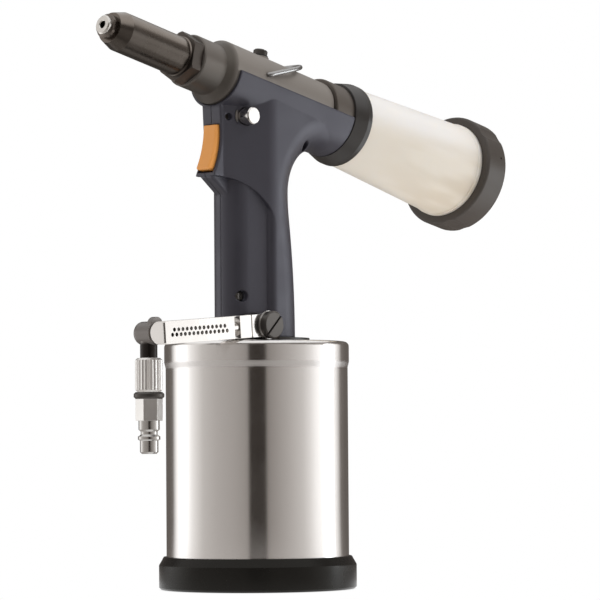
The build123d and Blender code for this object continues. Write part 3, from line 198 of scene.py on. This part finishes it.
# %% Turned lines
turned_lines, entry, leave = start_group(
    "turned_lines", [("Axis", VECTOR, (0.0, 0.0, 1.0)), ("Lines", FLOAT, 3000.0)],
    [("Height", FLOAT), ("Streak", FLOAT)])
place = add(turned_lines, "ShaderNodeTexCoord", (-600, -200))
along = add(turned_lines, "ShaderNodeVectorMath", (-350, 0), {"operation": "DOT_PRODUCT"})
join(turned_lines, place.outputs["Object"], along.inputs[0])
join(turned_lines, entry.outputs["Axis"], along.inputs[1])
fine = add(turned_lines, "ShaderNodeTexNoise", (-50, 100), {"noise_dimensions": "1D"}, Detail=4.0)
join(turned_lines, along.outputs["Value"], fine.inputs["W"])
join(turned_lines, entry.outputs["Lines"], fine.inputs["Scale"])
smear = add(turned_lines, "ShaderNodeTexNoise", (-50, -200), Scale=60.0, Detail=5.0)
join(turned_lines, place.outputs["Object"], smear.inputs["Vector"])
join(turned_lines, fine.outputs["Fac"], leave.inputs["Height"])
join(turned_lines, smear.outputs["Fac"], leave.inputs["Streak"])
print("group", turned_lines.name)

# %% [markdown]
# A value that drifts between two limits is needed in every finish, for roughness and for colour.
# One group maps any mask onto two limits, so that each material only states its own numbers.

# %% Drift
drift, entry, leave = start_group(
    "drift", [("Mask", FLOAT, 0.5), ("Low", FLOAT, 0.4), ("High", FLOAT, 0.5)], [("Value", FLOAT)])
NOISE_LOW, NOISE_HIGH = 0.3, 0.7      # most values of a noise texture lie between these
ramp = add(drift, "ShaderNodeMapRange", (0, 0), {"interpolation_type": "SMOOTHSTEP"},
           From_Min=NOISE_LOW, From_Max=NOISE_HIGH)
for label, socket in (("Mask", "Value"), ("Low", "To Min"), ("High", "To Max")):
    join(drift, entry.outputs[label], ramp.inputs[socket])
join(drift, ramp.outputs["Result"], leave.inputs["Value"])
print("group", drift.name)

# %% [markdown]
# Some pieces change their looks along their length: the casting, the tip and the tank along the
# head's axis, which leans nose-up, the cylinder and the elbow along the upright. The next group
# tells how far a point is between two places on an axis.

# %% Along an axis
HEAD_TILT = math.radians(12.6)
HEAD_AXIS = (-math.cos(HEAD_TILT), 0.0, math.sin(HEAD_TILT))      # points to the nose
UPRIGHT = (0.0, 0.0, 1.0)

along_axis, entry, leave = start_group(
    "along_axis", [("Axis", VECTOR, HEAD_AXIS), ("Start", FLOAT, 0.0), ("End", FLOAT, 0.1)],
    [("Share", FLOAT)])
place = add(along_axis, "ShaderNodeTexCoord", (-600, -200))
ahead_by = add(along_axis, "ShaderNodeVectorMath", (-350, -100), {"operation": "DOT_PRODUCT"})
join(along_axis, place.outputs["Object"], ahead_by.inputs[0])
join(along_axis, entry.outputs["Axis"], ahead_by.inputs[1])
between = add(along_axis, "ShaderNodeMapRange", (0, 0), {"interpolation_type": "SMOOTHSTEP"})
join(along_axis, ahead_by.outputs["Value"], between.inputs["Value"])
join(along_axis, entry.outputs["Start"], between.inputs["From Min"])
join(along_axis, entry.outputs["End"], between.inputs["From Max"])
join(along_axis, between.outputs["Result"], leave.inputs["Share"])


def reach_along(node):
    """Rearmost and foremost place of a piece on the head's axis."""
    places = [Vector(HEAD_AXIS).dot(corner.co) for corner in frame["nodes"][node].data.vertices]
    return min(places), max(places)


print("group", along_axis.name, "casting reaches",
      [round(end, 4) for end in reach_along("head_frame")])

# %% [markdown]
# Some pieces take painted shade on their underside and a painted highlight on their top. The
# upward part of the surface normal, in the object's own frame, tells the two apart.

# %% Facing up or down
facing_up, entry, leave = start_group(
    "facing_up", [("Start", FLOAT, 0.0), ("End", FLOAT, 1.0)], [("Share", FLOAT)])
place = add(facing_up, "ShaderNodeTexCoord", (-600, -200))
upward = add(facing_up, "ShaderNodeSeparateXYZ", (-350, -100))
between = add(facing_up, "ShaderNodeMapRange", (0, 0), {"interpolation_type": "SMOOTHSTEP"})
join(facing_up, place.outputs["Normal"], upward.inputs[0])
join(facing_up, upward.outputs["Z"], between.inputs["Value"])
join(facing_up, entry.outputs["Start"], between.inputs["From Min"])
join(facing_up, entry.outputs["End"], between.inputs["From Max"])
join(facing_up, between.outputs["Result"], leave.inputs["Share"])
print("group", facing_up.name)

# %% [markdown]
# ## The finishes
# Each finish follows the same pattern: a base colour that varies a little, a roughness that varies
# a little, a bump from grain or turning lines, and softened edges with some wear. Short helpers
# place a group, blend two colours and give masks, so that a finish reads as a list of what it has.

# %% Helpers for finishes
def effect(tree, group, at, **values):
    """Place a node group in a tree and set its inputs."""
    node = add(tree, "ShaderNodeGroup", at, {"node_tree": group})
    for name, value in values.items():
        node.inputs[name].default_value = value
    return node


def blend_colours(tree, mask, first, second, at):
    """A colour between two others, steered by a mask socket."""
    mix = add(tree, "ShaderNodeMix", at, {"data_type": "RGBA"})
    join(tree, mask, mix.inputs["Factor"])
    for socket, value in ((mix.inputs[6], first), (mix.inputs[7], second)):
        if isinstance(value, tuple):
            socket.default_value = (*value, 1.0)
        else:
            join(tree, value, socket)
    return mix.outputs[2]


def drifting(tree, mask, low, high, at):
    """A value that a mask takes from low to high."""
    node = effect(tree, drift, at, Low=low, High=high)
    join(tree, mask, node.inputs["Mask"])
    return node.outputs["Value"]


def share_between(tree, start, end, axis=HEAD_AXIS):
    """Zero before start, one after end, on an axis."""
    return effect(tree, along_axis, (-700, 450), Axis=axis, Start=start, End=end).outputs["Share"]


def band(tree, start, end, soft, axis=HEAD_AXIS):
    """One between two places on an axis, with soft borders."""
    return maths(tree, "MINIMUM", share_between(tree, start, start + soft, axis),
                 share_between(tree, end, end - soft, axis), (-450, 450))


def facing(tree, start, end):
    """Zero where the upward part of the normal is at start, one where it is at end."""
    return effect(tree, facing_up, (-900, 700), Start=start, End=end).outputs["Share"]


def recolour(tree, shader, mask, colour):
    """Blend what is on the base colour into another colour where the mask is one."""
    before = shader.inputs["Base Color"].links[0].from_socket
    join(tree, blend_colours(tree, mask, before, colour, (-200, 450)), shader.inputs["Base Color"])


def bumped(tree, shader, height, normal, strength, depth):
    """Bump on top of the softened edge normal."""
    bump = add(tree, "ShaderNodeBump", (-250, -350), Strength=strength, Distance=depth)
    join(tree, height, bump.inputs["Height"])
    join(tree, normal, bump.inputs["Normal"])
    join(tree, bump.outputs["Normal"], shader.inputs["Normal"])


print("helpers for finishes ready")

# %% [markdown]
# Two makers cover all finishes, one for moulded pieces and one for metal. Each keeps its material
# under the name of the finish, and gives the node tree and the shader for what is special to it.

# %% Makers for plastic and metal
STIPPLE_STRENGTH = 0.5
LINE_STRENGTH = 0.4
finishes = {}


def moulded(name, colour, clouded, worn, rough, grain=2500.0, depth=0.00003, radius=0.0004, wear=1.5,
            shine=0.5, tint=(1.0, 1.0, 1.0), spread=0.05):
    """Moulded plastic or rubber: stippled, faintly clouded, paler along handled edges."""
    finishes[name], tree, shader = start_finish(name)
    shader.inputs["Specular IOR Level"].default_value = shine
    shader.inputs["Specular Tint"].default_value = (*tint, 1.0)
    surface = effect(tree, mould_grain, (-900, 100), Grain=grain)
    rim = effect(tree, soft_edges, (-900, -200), Radius=radius, Wear=wear)
    body = blend_colours(tree, surface.outputs["Clouding"], colour, clouded, (-600, 200))
    tone = blend_colours(tree, rim.outputs["Edge"], body, worn, (-400, 200))
    join(tree, tone, shader.inputs["Base Color"])
    join(tree, drifting(tree, surface.outputs["Clouding"], rough - spread, rough + spread, (-500, 0)),
         shader.inputs["Roughness"])
    bumped(tree, shader, surface.outputs["Height"], rim.outputs["Normal"], STIPPLE_STRENGTH, depth)
    return tree, shader


def machined(name, colour, streaked, worn, rough, axis=UPRIGHT, lines=3000.0, depth=0.000004,
             radius=0.00025, wear=1.0, metal=1.0, spread=0.04):
    """Metal with fine lines round an axis, slight streaks and brighter edges."""
    finishes[name], tree, shader = start_finish(name)
    shader.inputs["Metallic"].default_value = metal
    surface = effect(tree, turned_lines, (-900, 100), Axis=axis, Lines=lines)
    rim = effect(tree, soft_edges, (-900, -200), Radius=radius, Wear=wear)
    body = blend_colours(tree, surface.outputs["Streak"], colour, streaked, (-600, 200))
    tone = blend_colours(tree, rim.outputs["Edge"], body, worn, (-400, 200))
    join(tree, tone, shader.inputs["Base Color"])
    join(tree, drifting(tree, surface.outputs["Streak"], rough - spread, rough + spread, (-500, 0)),
         shader.inputs["Roughness"])
    bumped(tree, shader, surface.outputs["Height"], rim.outputs["Normal"], LINE_STRENGTH, depth)
    return tree, shader


print("makers ready")

# %% [markdown]
# ### Plastics
# The covers are satin, dark blue-grey. The trigger is orange, the cap and the ring behind the
# head are near black with a brown cast, and the foot is black. The foot and ring are a little
# glossier than the covers. Each line gives the colour, its clouded and worn tones and the roughness.

# %% Plastics
moulded("cover_plastic", (0.021, 0.020, 0.029), (0.027, 0.0255, 0.036), (0.06, 0.058, 0.075), 0.46,
        radius=0.0012, shine=0.8, tint=(0.93, 0.92, 1.0))
moulded("trigger_plastic", (0.82, 0.335, 0.066), (0.86, 0.36, 0.08), (0.93, 0.50, 0.17), 0.42)
moulded("cap_plastic", (0.056, 0.047, 0.040), (0.070, 0.059, 0.051), (0.13, 0.115, 0.10), 0.42,
        shine=0.3)
moulded("ring_plastic", (0.021, 0.018, 0.016), (0.028, 0.024, 0.021), (0.08, 0.07, 0.06), 0.38)
moulded("foot_plastic", (0.005, 0.0046, 0.004), (0.007, 0.0062, 0.0055), (0.030, 0.028, 0.025), 0.25,
        depth=0.00001, shine=0.22, tint=(1.0, 0.96, 0.88))
moulded("seal_rubber", (0.012, 0.012, 0.012), (0.018, 0.018, 0.018), (0.03, 0.03, 0.03), 0.7)
print("plastics:", ", ".join(finishes))

# %% [markdown]
# ### The milky tank
# The tank is blow-moulded, natural plastic. Light goes in, scatters and comes out elsewhere, which
# is what subsurface scattering does, over a few millimetres. The plastic is creamier towards the wide
# end, and its underside is painted creamier and darker, as painted shade.

# %% Tank
TANK_PALE, TANK_MILKY, TANK_WORN = (0.83, 0.79, 0.755), (0.82, 0.775, 0.735), (0.87, 0.83, 0.78)
TANK_SHADE_CREAM = (0.72, 0.655, 0.57)       # painted shade on the underside
TANK_REAR = (0.74, 0.675, 0.585)       # wide end
TANK_SHADE_FACING = (0.45, -0.2)          # upward part of the normal, from no painted shade to full painted shade
TANK_REAR_FADE = 0.03                  # the rear tone would be full this far behind the tank
SCATTER_DEPTH = 0.004

tree, shader = moulded("tank_plastic", TANK_PALE, TANK_MILKY, TANK_WORN, 0.36, grain=1200.0,
                       depth=0.00001, wear=0.5, shine=0.2)
shader.inputs["Subsurface Weight"].default_value = 0.6
shader.inputs["Subsurface Radius"].default_value = (1.0, 0.9, 0.75)
shader.inputs["Subsurface Scale"].default_value = SCATTER_DEPTH
shader.inputs["IOR"].default_value = 1.5
# Painted shade: the underside is painted creamier and darker
shaded_underside = facing(tree, *TANK_SHADE_FACING)
recolour(tree, shader, shaded_underside, TANK_SHADE_CREAM)
rear, front = reach_along("mandrel_tank")
middle = 0.5 * (front + rear)
recolour(tree, shader, share_between(tree, middle, rear - TANK_REAR_FADE), TANK_REAR)
print("tank finish from", round(front, 3), "to", round(rear, 3))

# %% [markdown]
# Faint streaks of painted shade inside the tank: noise that is stretched four times along the
# head's axis, on the underside, and stronger towards the rear.

# %% Painted shade inside the tank
TANK_INNER_SHADE = (0.60, 0.52, 0.42)
STREAK_LENGTH, STREAK_WIDTH = 0.04, 0.010

spot = add(tree, "ShaderNodeTexCoord", (-1300, 1000))
lying = add(tree, "ShaderNodeMapping", (-1100, 1000), {"vector_type": "TEXTURE"},
            Rotation=(0.0, HEAD_TILT, 0.0), Scale=(STREAK_LENGTH, STREAK_WIDTH, STREAK_WIDTH))
streaks = add(tree, "ShaderNodeTexNoise", (-900, 1000), Scale=1.0, Detail=1.5)
join(tree, spot.outputs["Object"], lying.inputs["Vector"])
join(tree, lying.outputs["Vector"], streaks.inputs["Vector"])
shaded_low_rear = maths(tree, "MULTIPLY", shaded_underside, share_between(tree, front, rear))
inner_shade = maths(tree, "MULTIPLY", drifting(tree, streaks.outputs["Fac"], 0.0, 1.0, (-700, 1000)), shaded_low_rear)
# Painted shade inside the tank, in streaks, darkest low at the rear
recolour(tree, shader, inner_shade, TANK_INNER_SHADE)
print("streaks of", STREAK_LENGTH, "by", STREAK_WIDTH, "m")

# %% [markdown]
# ### The cylinder
# The cylinder is polished stainless steel with very fine rings, which stretch a reflection along its
# axis. An anisotropic shader does that once it knows the direction round the axis, the tangent. The
# step that is rolled into the wall isn't polished, so a band of heights is rougher.

# %% Cylinder
STEP_FROM, STEP_TO = 0.1150, 0.1195    # heights of the rolled step
STEP_SOFT = 0.0015
STEP_DULLER = 0.3                      # added to the roughness

tree, shader = machined(
    "cylinder_steel", (0.795, 0.773, 0.755), (0.805, 0.783, 0.765), (0.86, 0.84, 0.82), 0.17,
    lines=4000.0, depth=0.000002, spread=0.015)
shader.inputs["Anisotropic"].default_value = 0.7
shader.inputs["Anisotropic Rotation"].default_value = 0.25
around = add(tree, "ShaderNodeTangent", (-250, -550), {"direction_type": "RADIAL", "axis": "Z"})
join(tree, around.outputs["Tangent"], shader.inputs["Tangent"])
polish = shader.inputs["Roughness"].links[0].from_socket
step = band(tree, STEP_FROM, STEP_TO, STEP_SOFT, UPRIGHT)
duller = maths(tree, "MULTIPLY", step, STEP_DULLER, (-500, -120))
join(tree, maths(tree, "ADD", polish, duller, (-250, -120)), shader.inputs["Roughness"])
print("rolled step from", STEP_FROM, "to", STEP_TO, "m")

# %% [markdown]
# ### The casting
# The casting and the collar behind it have a matt, warm grey coating, so they are only partly
# metallic. The snout that carries the nose is darker, the shoulder behind it is painted darker still
# as painted shade, and the underside is painted darkest, as painted shade. Places are measured back from the
# front.

# %% Casting
SNOUT_FROM, SNOUT_FULL = 0.022, 0.015
SHOULDER_FROM, SHOULDER_TO, SHOULDER_SOFT = 0.0225, 0.0125, 0.004
CASTING_SHADE_FACING = (0.1, -0.8)        # upward part of the normal, from no painted shade to full painted shade
SNOUT_TONE, SHOULDER_SHADE = (0.15, 0.132, 0.116), (0.09, 0.077, 0.065)
UNDERSIDE_SHADE = (0.075, 0.065, 0.055)

tree, shader = machined(
    "casting_alloy", (0.235, 0.21, 0.187), (0.265, 0.238, 0.214), (0.42, 0.39, 0.36), 0.48,
    axis=HEAD_AXIS, lines=1500.0, metal=0.5)
front = reach_along("head_frame")[1]
snout = share_between(tree, front - SNOUT_FROM, front - SNOUT_FULL)
shoulder = band(tree, front - SHOULDER_FROM, front - SHOULDER_TO, SHOULDER_SOFT)
recolour(tree, shader, snout, SNOUT_TONE)
# Painted shade on the shoulder behind the snout
recolour(tree, shader, shoulder, SHOULDER_SHADE)
# Painted shade on the underside
recolour(tree, shader, facing(tree, *CASTING_SHADE_FACING), UNDERSIDE_SHADE)
machined("housing_alloy", (0.105, 0.088, 0.074), (0.125, 0.107, 0.092), (0.28, 0.25, 0.22), 0.44,
         axis=HEAD_AXIS, lines=1500.0, metal=0.5)
print("shoulder from", round(front - SHOULDER_FROM, 4), "to", round(front - SHOULDER_TO, 4))

# %% [markdown]
# ### The nose
# The nose tube is dark turned steel with a painted highlight on top, and the nut behind it is duller. The tip is
# blackened, and only its front face, which is pressed against every rivet, is worn bright.

# %% Nose
LIT_TOP_FACING = (-0.1, 0.5)               # upward part of the normal, from no painted highlight to full painted highlight
TOP_HIGHLIGHT_TONE, WORN_TONE = (0.24, 0.207, 0.18), (0.70, 0.675, 0.64)
WORN_FROM, WORN_FULL = 0.0022, 0.00132    # behind the front of the tip

tree, shader = machined(
    "nose_steel", (0.082, 0.070, 0.060), (0.098, 0.085, 0.074), (0.44, 0.40, 0.36), 0.28,
    axis=HEAD_AXIS)
# Painted highlight on the top of the nose tube
recolour(tree, shader, facing(tree, *LIT_TOP_FACING), TOP_HIGHLIGHT_TONE)
machined("nut_steel", (0.09, 0.078, 0.068), (0.11, 0.096, 0.085), (0.46, 0.43, 0.39), 0.42,
         axis=HEAD_AXIS)
tree, shader = machined(
    "tip_steel", (0.135, 0.115, 0.10), (0.16, 0.138, 0.12), (0.46, 0.43, 0.40), 0.28, axis=HEAD_AXIS)
front = reach_along("nosepiece")[1]
recolour(tree, shader, share_between(tree, front - WORN_FROM, front - WORN_FULL), WORN_TONE)
print("tip worn from", round(front - WORN_FROM, 4), "to", round(front, 4))

# %% [markdown]
# ### The air inlet
# The arm is bright plated, the knurled ring and the hexagon below it are satin, and the plug is plain
# steel. The silencer behind the exhaust holes is grey. The elbow is dark, and darker still on its
# neck, below a known height.

# %% Air inlet
NECK_TOP, NECK_FULL = 0.1280, 0.1264
NECK_TONE = (0.035, 0.031, 0.029)

machined("chrome", (0.70, 0.675, 0.65), (0.74, 0.715, 0.69), (0.86, 0.84, 0.82), 0.13,
         lines=1500.0, depth=0.000002)
machined("satin_chrome", (0.80, 0.78, 0.755), (0.83, 0.81, 0.785), (0.90, 0.88, 0.86), 0.42,
         lines=1500.0)
machined("plain_steel", (0.50, 0.485, 0.465), (0.55, 0.53, 0.51), (0.75, 0.73, 0.71), 0.20,
         lines=1500.0)
moulded("silencer_grey", (0.36, 0.35, 0.34), (0.44, 0.43, 0.42), (0.5, 0.49, 0.48), 0.8, grain=1500.0)
tree, shader = machined(
    "elbow_black", (0.19, 0.174, 0.165), (0.21, 0.195, 0.185), (0.33, 0.31, 0.30), 0.34)
recolour(tree, shader, share_between(tree, NECK_TOP, NECK_FULL, UPRIGHT), NECK_TONE)
print("elbow's neck is below", NECK_TOP, "m")

# %% [markdown]
# ### Small and inner pieces
# Bolt, plug and screws are dark steel, washers are soft alloy, the air piston and the bottom plate
# are bare alloy, bushes are brass, and what slides or grips is ground steel. Most of these are
# hidden, but they show when the model is taken apart.

# %% Small and inner pieces
machined("dark_steel", (0.075, 0.068, 0.062), (0.095, 0.087, 0.08), (0.30, 0.28, 0.26), 0.36, metal=0.8)
machined("washer_alloy", (0.55, 0.54, 0.53), (0.6, 0.59, 0.58), (0.75, 0.74, 0.73), 0.35)
machined("inner_alloy", (0.62, 0.61, 0.60), (0.67, 0.66, 0.65), (0.8, 0.79, 0.78), 0.32)
machined("bush_brass", (0.60, 0.42, 0.16), (0.66, 0.47, 0.19), (0.8, 0.62, 0.3), 0.3)
machined("ground_steel", (0.52, 0.51, 0.50), (0.57, 0.56, 0.55), (0.75, 0.74, 0.73), 0.25)
machined("spring_steel", (0.35, 0.345, 0.34), (0.40, 0.395, 0.39), (0.6, 0.59, 0.58), 0.3)
print(len(finishes), "finishes")

# %% [markdown]
# ## Dressing the pieces
# Every piece of the solid model takes the finish of its material slot, and seven small ones take one
# of their own. Only the material slots of the objects change, and the meshes stay as they are.
# In the picture the hose connection isn't mirrored in the cylinder beside it, so it stays out of
# reflections.

# %% Assign finishes
OWN_FINISH = {"swivel_collar": "satin_chrome", "hex_adaptor": "satin_chrome",
              "swivel_washer": "dark_steel", "lock_nut": "nut_steel", "muffler_core": "silencer_grey",
              "air_plug": "plain_steel", "hanger": "spring_steel"}
HOSE_CONNECTION = ("elbow", "swivel_collar", "swivel_washer", "hex_adaptor", "air_plug")
for node, obj in frame["nodes"].items():
    obj.data.materials.clear()
    obj.data.materials.append(finishes[OWN_FINISH.get(node, slot_of[node])])
for node in HOSE_CONNECTION:
    frame["nodes"][node].visible_glossy = False
print("dressed", len(frame["nodes"]), "pieces")

# %% [markdown]
# ## The squeezed springs
# Two springs are squeezed when the tool works: the return spring behind the oil piston and the small
# one on the valve rod. A rigid coil would cut into the piston that pushes it. Each spring, found by
# the joint that squeezes it, gets a second mesh with the same coils, which hangs from the frame in
# place of the solid one. A joint's axis points the way the piston moves.

# %% Springs
SQUEEZED = {"pull": "return_spring", "valve_push": "valve_spring"}
for joint in frame["joints"]:
    if joint["name"] not in SQUEEZED:
        continue
    solid = frame["nodes"][SQUEEZED[joint["name"]]]
    coil = bpy.data.objects.new(solid.name + "_coil", solid.data.copy())
    bpy.context.scene.collection.objects.link(coil)
    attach(coil, "frame")
    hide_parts(solid.name)
    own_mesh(coil)

# %% [markdown]
# ## The studio
# The floor is a plain white surface that takes the thin shadow under the foot. Outside the foot it
# fades into the white background, for rays that the eye, a mirror or clear plastic would see. The
# light that it gives back to the tool stays as it is, so the white costs no extra light.

# %% Floor
FLOOR_HALF = 3.0
FLOOR_DROP = 0.0003        # just under the foot, so that the two faces don't mix
FADE_FROM = 0.044
FADE_TO = 0.0530
floor_mesh = bpy.data.meshes.new("studio_floor")
floor_mesh.from_pydata([(-FLOOR_HALF, -FLOOR_HALF, 0), (FLOOR_HALF, -FLOOR_HALF, 0),
                        (FLOOR_HALF, FLOOR_HALF, 0), (-FLOOR_HALF, FLOOR_HALF, 0)], [], [(0, 1, 2, 3)])
floor = bpy.data.objects.new("studio_floor", floor_mesh)
floor.location.z = -FLOOR_DROP
bpy.context.scene.collection.objects.link(floor)


def seen_rays(tree, at):
    """One for rays from the camera, from a mirror or through clear plastic, else zero."""
    path = add(tree, "ShaderNodeLightPath", at)
    seen = maths(tree, "MAXIMUM", path.outputs["Is Camera Ray"], path.outputs["Is Glossy Ray"],
                 (at[0] + 200, at[1]))
    return maths(tree, "MAXIMUM", seen, path.outputs["Is Transmission Ray"], (at[0] + 400, at[1]))


material, tree, shader = start_finish("studio_white")
shader.inputs["Base Color"].default_value = (0.80, 0.80, 0.80, 1.0)
shader.inputs["Roughness"].default_value = 0.9
spot = add(tree, "ShaderNodeTexCoord", (-900, -200))
reach = add(tree, "ShaderNodeVectorMath", (-700, -200), {"operation": "LENGTH"})
join(tree, spot.outputs["Object"], reach.inputs[0])
fade = add(tree, "ShaderNodeMapRange", (-500, -200), {"interpolation_type": "SMOOTHSTEP"},
           From_Min=FADE_FROM, From_Max=FADE_TO)
join(tree, reach.outputs["Value"], fade.inputs["Value"])
amount = maths(tree, "MULTIPLY", fade.outputs["Result"], seen_rays(tree, (-900, -500)), (-250, -250))
glow = add(tree, "ShaderNodeEmission", (0, -250), Strength=1.0)
mix = add(tree, "ShaderNodeMixShader", (300, 0))
join(tree, amount, mix.inputs[0])
join(tree, shader.outputs[0], mix.inputs[1])
join(tree, glow.outputs[0], mix.inputs[2])
join(tree, mix.outputs[0], tree.nodes["Material Output"].inputs["Surface"])
floor.data.materials.append(material)
print("floor fades from", FADE_FROM, "to", FADE_TO, "m")

# %% [markdown]
# The world has two jobs. It is the white background wherever a ray is seen, and for everything
# else it is an even soft light, weak enough for colours to render as they are written.

# %% World
EVEN_LIGHT = 0.70
world = bpy.data.worlds.new("studio")
bpy.context.scene.world = world
world.use_nodes = True
tree = world.node_tree
lit = blend_colours(tree, seen_rays(tree, (-900, 0)), (EVEN_LIGHT,) * 3, (1.0, 1.0, 1.0), (-200, 0))
join(tree, lit, tree.nodes["Background"].inputs["Color"])
print("world light", EVEN_LIGHT)

# %% [markdown]
# Polished metal in a plain white room looks like white paint. Photographers stand cards round
# such a piece, and the cylinder's stripes in the picture are those cards: a dark one beside the
# camera, grey ones further round, bright ones at both sides. The cards are no taller than the
# tool, with darker ones on the table and above them. One round screen stands for them all, open
# at the top, where the white background shows. A ramp gives its brightness all the way round,
# from the far side by the left. Only reflections see the screen, so it neither hides the tool
# nor lights it.

# %% Reflection screen
# Radius and height of the screen's rings, from the table outwards and up
SCREEN = [(0.10, 0.001), (0.22, 0.001), (0.80, 0.001), (0.90, 0.001), (0.90, 0.355), (0.90, 0.80)]
SCREEN_PARTS = 96
SCREEN_GAIN = 1.5              # steel gives back about two thirds of what it sees
WARMTH = (1.0, 1.05, 1.09)     # powers that make the grey cards warmer than the white ones
# Brightness by degrees from the camera's side, left is negative
WALL = [(-180, 0.09), (-145, 0.09), (-131, 0.12), (-120, 0.80), (-112, 1.0), (-97, 1.0), (-89, 0.72),
        (-80, 0.57), (-70, 0.42), (-51, 0.34), (-30, 0.29), (-17, 0.25), (-11, 0.22), (-9, 0.025),
        (10.5, 0.025), (12.5, 0.19), (20, 0.23), (40, 0.34), (58, 0.46), (69, 0.62), (78, 0.80),
        (90, 0.95), (96, 2.6), (104, 2.6), (109, 0.90), (119, 0.60), (128, 0.13), (145, 0.09),
        (180, 0.09)]
UPPER = [(-180, 0.09), (-125, 0.10), (-112, 0.55), (-75, 0.55), (-60, 0.12), (60, 0.12), (88, 0.24),
         (115, 0.24), (130, 0.12), (180, 0.09)]
FAR = [(-180, 0.05), (-130, 0.08), (-118, 0.40), (-95, 0.40), (-60, 0.18), (-12, 0.12), (-8, 0.02),
       (10, 0.02), (14, 0.12), (60, 0.16), (90, 0.24), (115, 0.24), (130, 0.08), (180, 0.05)]
NEAR = [(-180, 0.36), (180, 0.36)]
CARDS = {"near_table": NEAR, "table": WALL, "far_table": FAR, "wall": WALL, "upper_wall": UPPER}

across = [(math.cos(math.tau * k / SCREEN_PARTS), math.sin(math.tau * k / SCREEN_PARTS))
          for k in range(SCREEN_PARTS)]
quads = [(row * SCREEN_PARTS + k, row * SCREEN_PARTS + (k + 1) % SCREEN_PARTS,
          (row + 1) * SCREEN_PARTS + (k + 1) % SCREEN_PARTS, (row + 1) * SCREEN_PARTS + k)
         for row in range(len(SCREEN) - 1) for k in range(SCREEN_PARTS)]
screen_mesh = bpy.data.meshes.new("reflection_screen")
screen_mesh.from_pydata([(r * x, r * y, z) for r, z in SCREEN for x, y in across], [], quads)
screen = bpy.data.objects.new("reflection_screen", screen_mesh)
bpy.context.scene.collection.objects.link(screen)
screen.visible_camera = screen.visible_diffuse = False
screen.visible_transmission = screen.visible_shadow = False
print("screen of", len(quads), "faces")

# %% [markdown]
# The place on the ramp is an angle round the upright. It is worked out from two directions that are
# fixed in the room, so the cards stay where they are when the tool is looked at from elsewhere.

# %% Cards on the screen
to_front = Vector((CAMERA_PLACE.x, CAMERA_PLACE.y, 0)).normalized()
to_right = Vector((-to_front.y, to_front.x, 0))


def ramp_stop(stops, degrees):
    """The ramp's own stop at either end, a new one between."""
    if degrees == -180:
        return stops[0]
    if degrees == 180:
        return stops[-1]
    return stops.new(0.5 + degrees / 360)


def card_finish(name, tones):
    """Glowing cards whose brightness goes round with the tones."""
    material, tree, shader = start_finish(name)
    tree.nodes.remove(shader)
    spot = add(tree, "ShaderNodeTexCoord", (-1400, 0))
    parts = []
    for k, direction in enumerate((to_front, to_right)):
        part = add(tree, "ShaderNodeVectorMath", (-1200, -200 * k), {"operation": "DOT_PRODUCT"})
        part.inputs[1].default_value = direction
        join(tree, spot.outputs["Object"], part.inputs[0])
        parts.append(part.outputs["Value"])
    turn = maths(tree, "ARCTAN2", parts[1], parts[0], (-950, 0))
    share = maths(tree, "ADD", maths(tree, "DIVIDE", turn, math.tau, (-750, 0)), 0.5, (-550, 0))
    cards = add(tree, "ShaderNodeValToRGB", (-350, 0))
    stops = cards.color_ramp.elements
    for degrees, brightness in tones:
        stop = ramp_stop(stops, degrees)
        stop.color = (*(brightness ** power for power in WARMTH), 1.0)
    join(tree, share, cards.inputs["Fac"])
    glow = add(tree, "ShaderNodeEmission", (0, 0), Strength=SCREEN_GAIN)
    join(tree, cards.outputs["Color"], glow.inputs["Color"])
    join(tree, glow.outputs[0], tree.nodes["Material Output"].inputs["Surface"])
    return material


for name, tones in CARDS.items():
    screen.data.materials.append(card_finish(name, tones))
for face in screen.data.polygons:
    face.material_index = face.index // SCREEN_PARTS
print("cards on", len(CARDS), "bands of the screen")

# %% [markdown]
# Three soft lamps shape the tool: one from above on the right, a white card's worth of light from
# the table under the tank, and a weak one from the left. They stay out of reflections, where the
# screen is.

# %% Lamps
def lamp(name, place, target, size, power):
    """A soft light, so wide and so tall, that points at a target."""
    data = bpy.data.lights.new(name, "AREA")
    data.shape = "RECTANGLE"
    data.size, data.size_y = size
    data.energy = power
    light = bpy.data.objects.new(name, data)
    light.location = place
    light.rotation_euler = (Vector(target) - Vector(place)).to_track_quat("-Z", "Y").to_euler()
    bpy.context.scene.collection.objects.link(light)
    return light


MIDDLE = (0.0, 0.0, 0.17)
TANK_PLACE = (0.14, -0.05, 0.3)
key = lamp("key_light", (0.75, -0.6, 1.1), MIDDLE, size=(0.7, 0.7), power=8.0)
table = lamp("table_light", (0.14, -0.06, 0.01), TANK_PLACE, size=(0.25, 0.2), power=0.28)
fill = lamp("fill_light", (-1.3, 0.1, 0.6), MIDDLE, size=(0.8, 0.8), power=1.5)
for light in (key, table, fill):
    light.visible_glossy = light.visible_camera = False
bpy.context.scene.view_settings.view_transform = "Standard"
print("lamps", key.name, table.name, fill.name)

# %% [markdown]
# ## Finish

# %% Finish
print("finished")
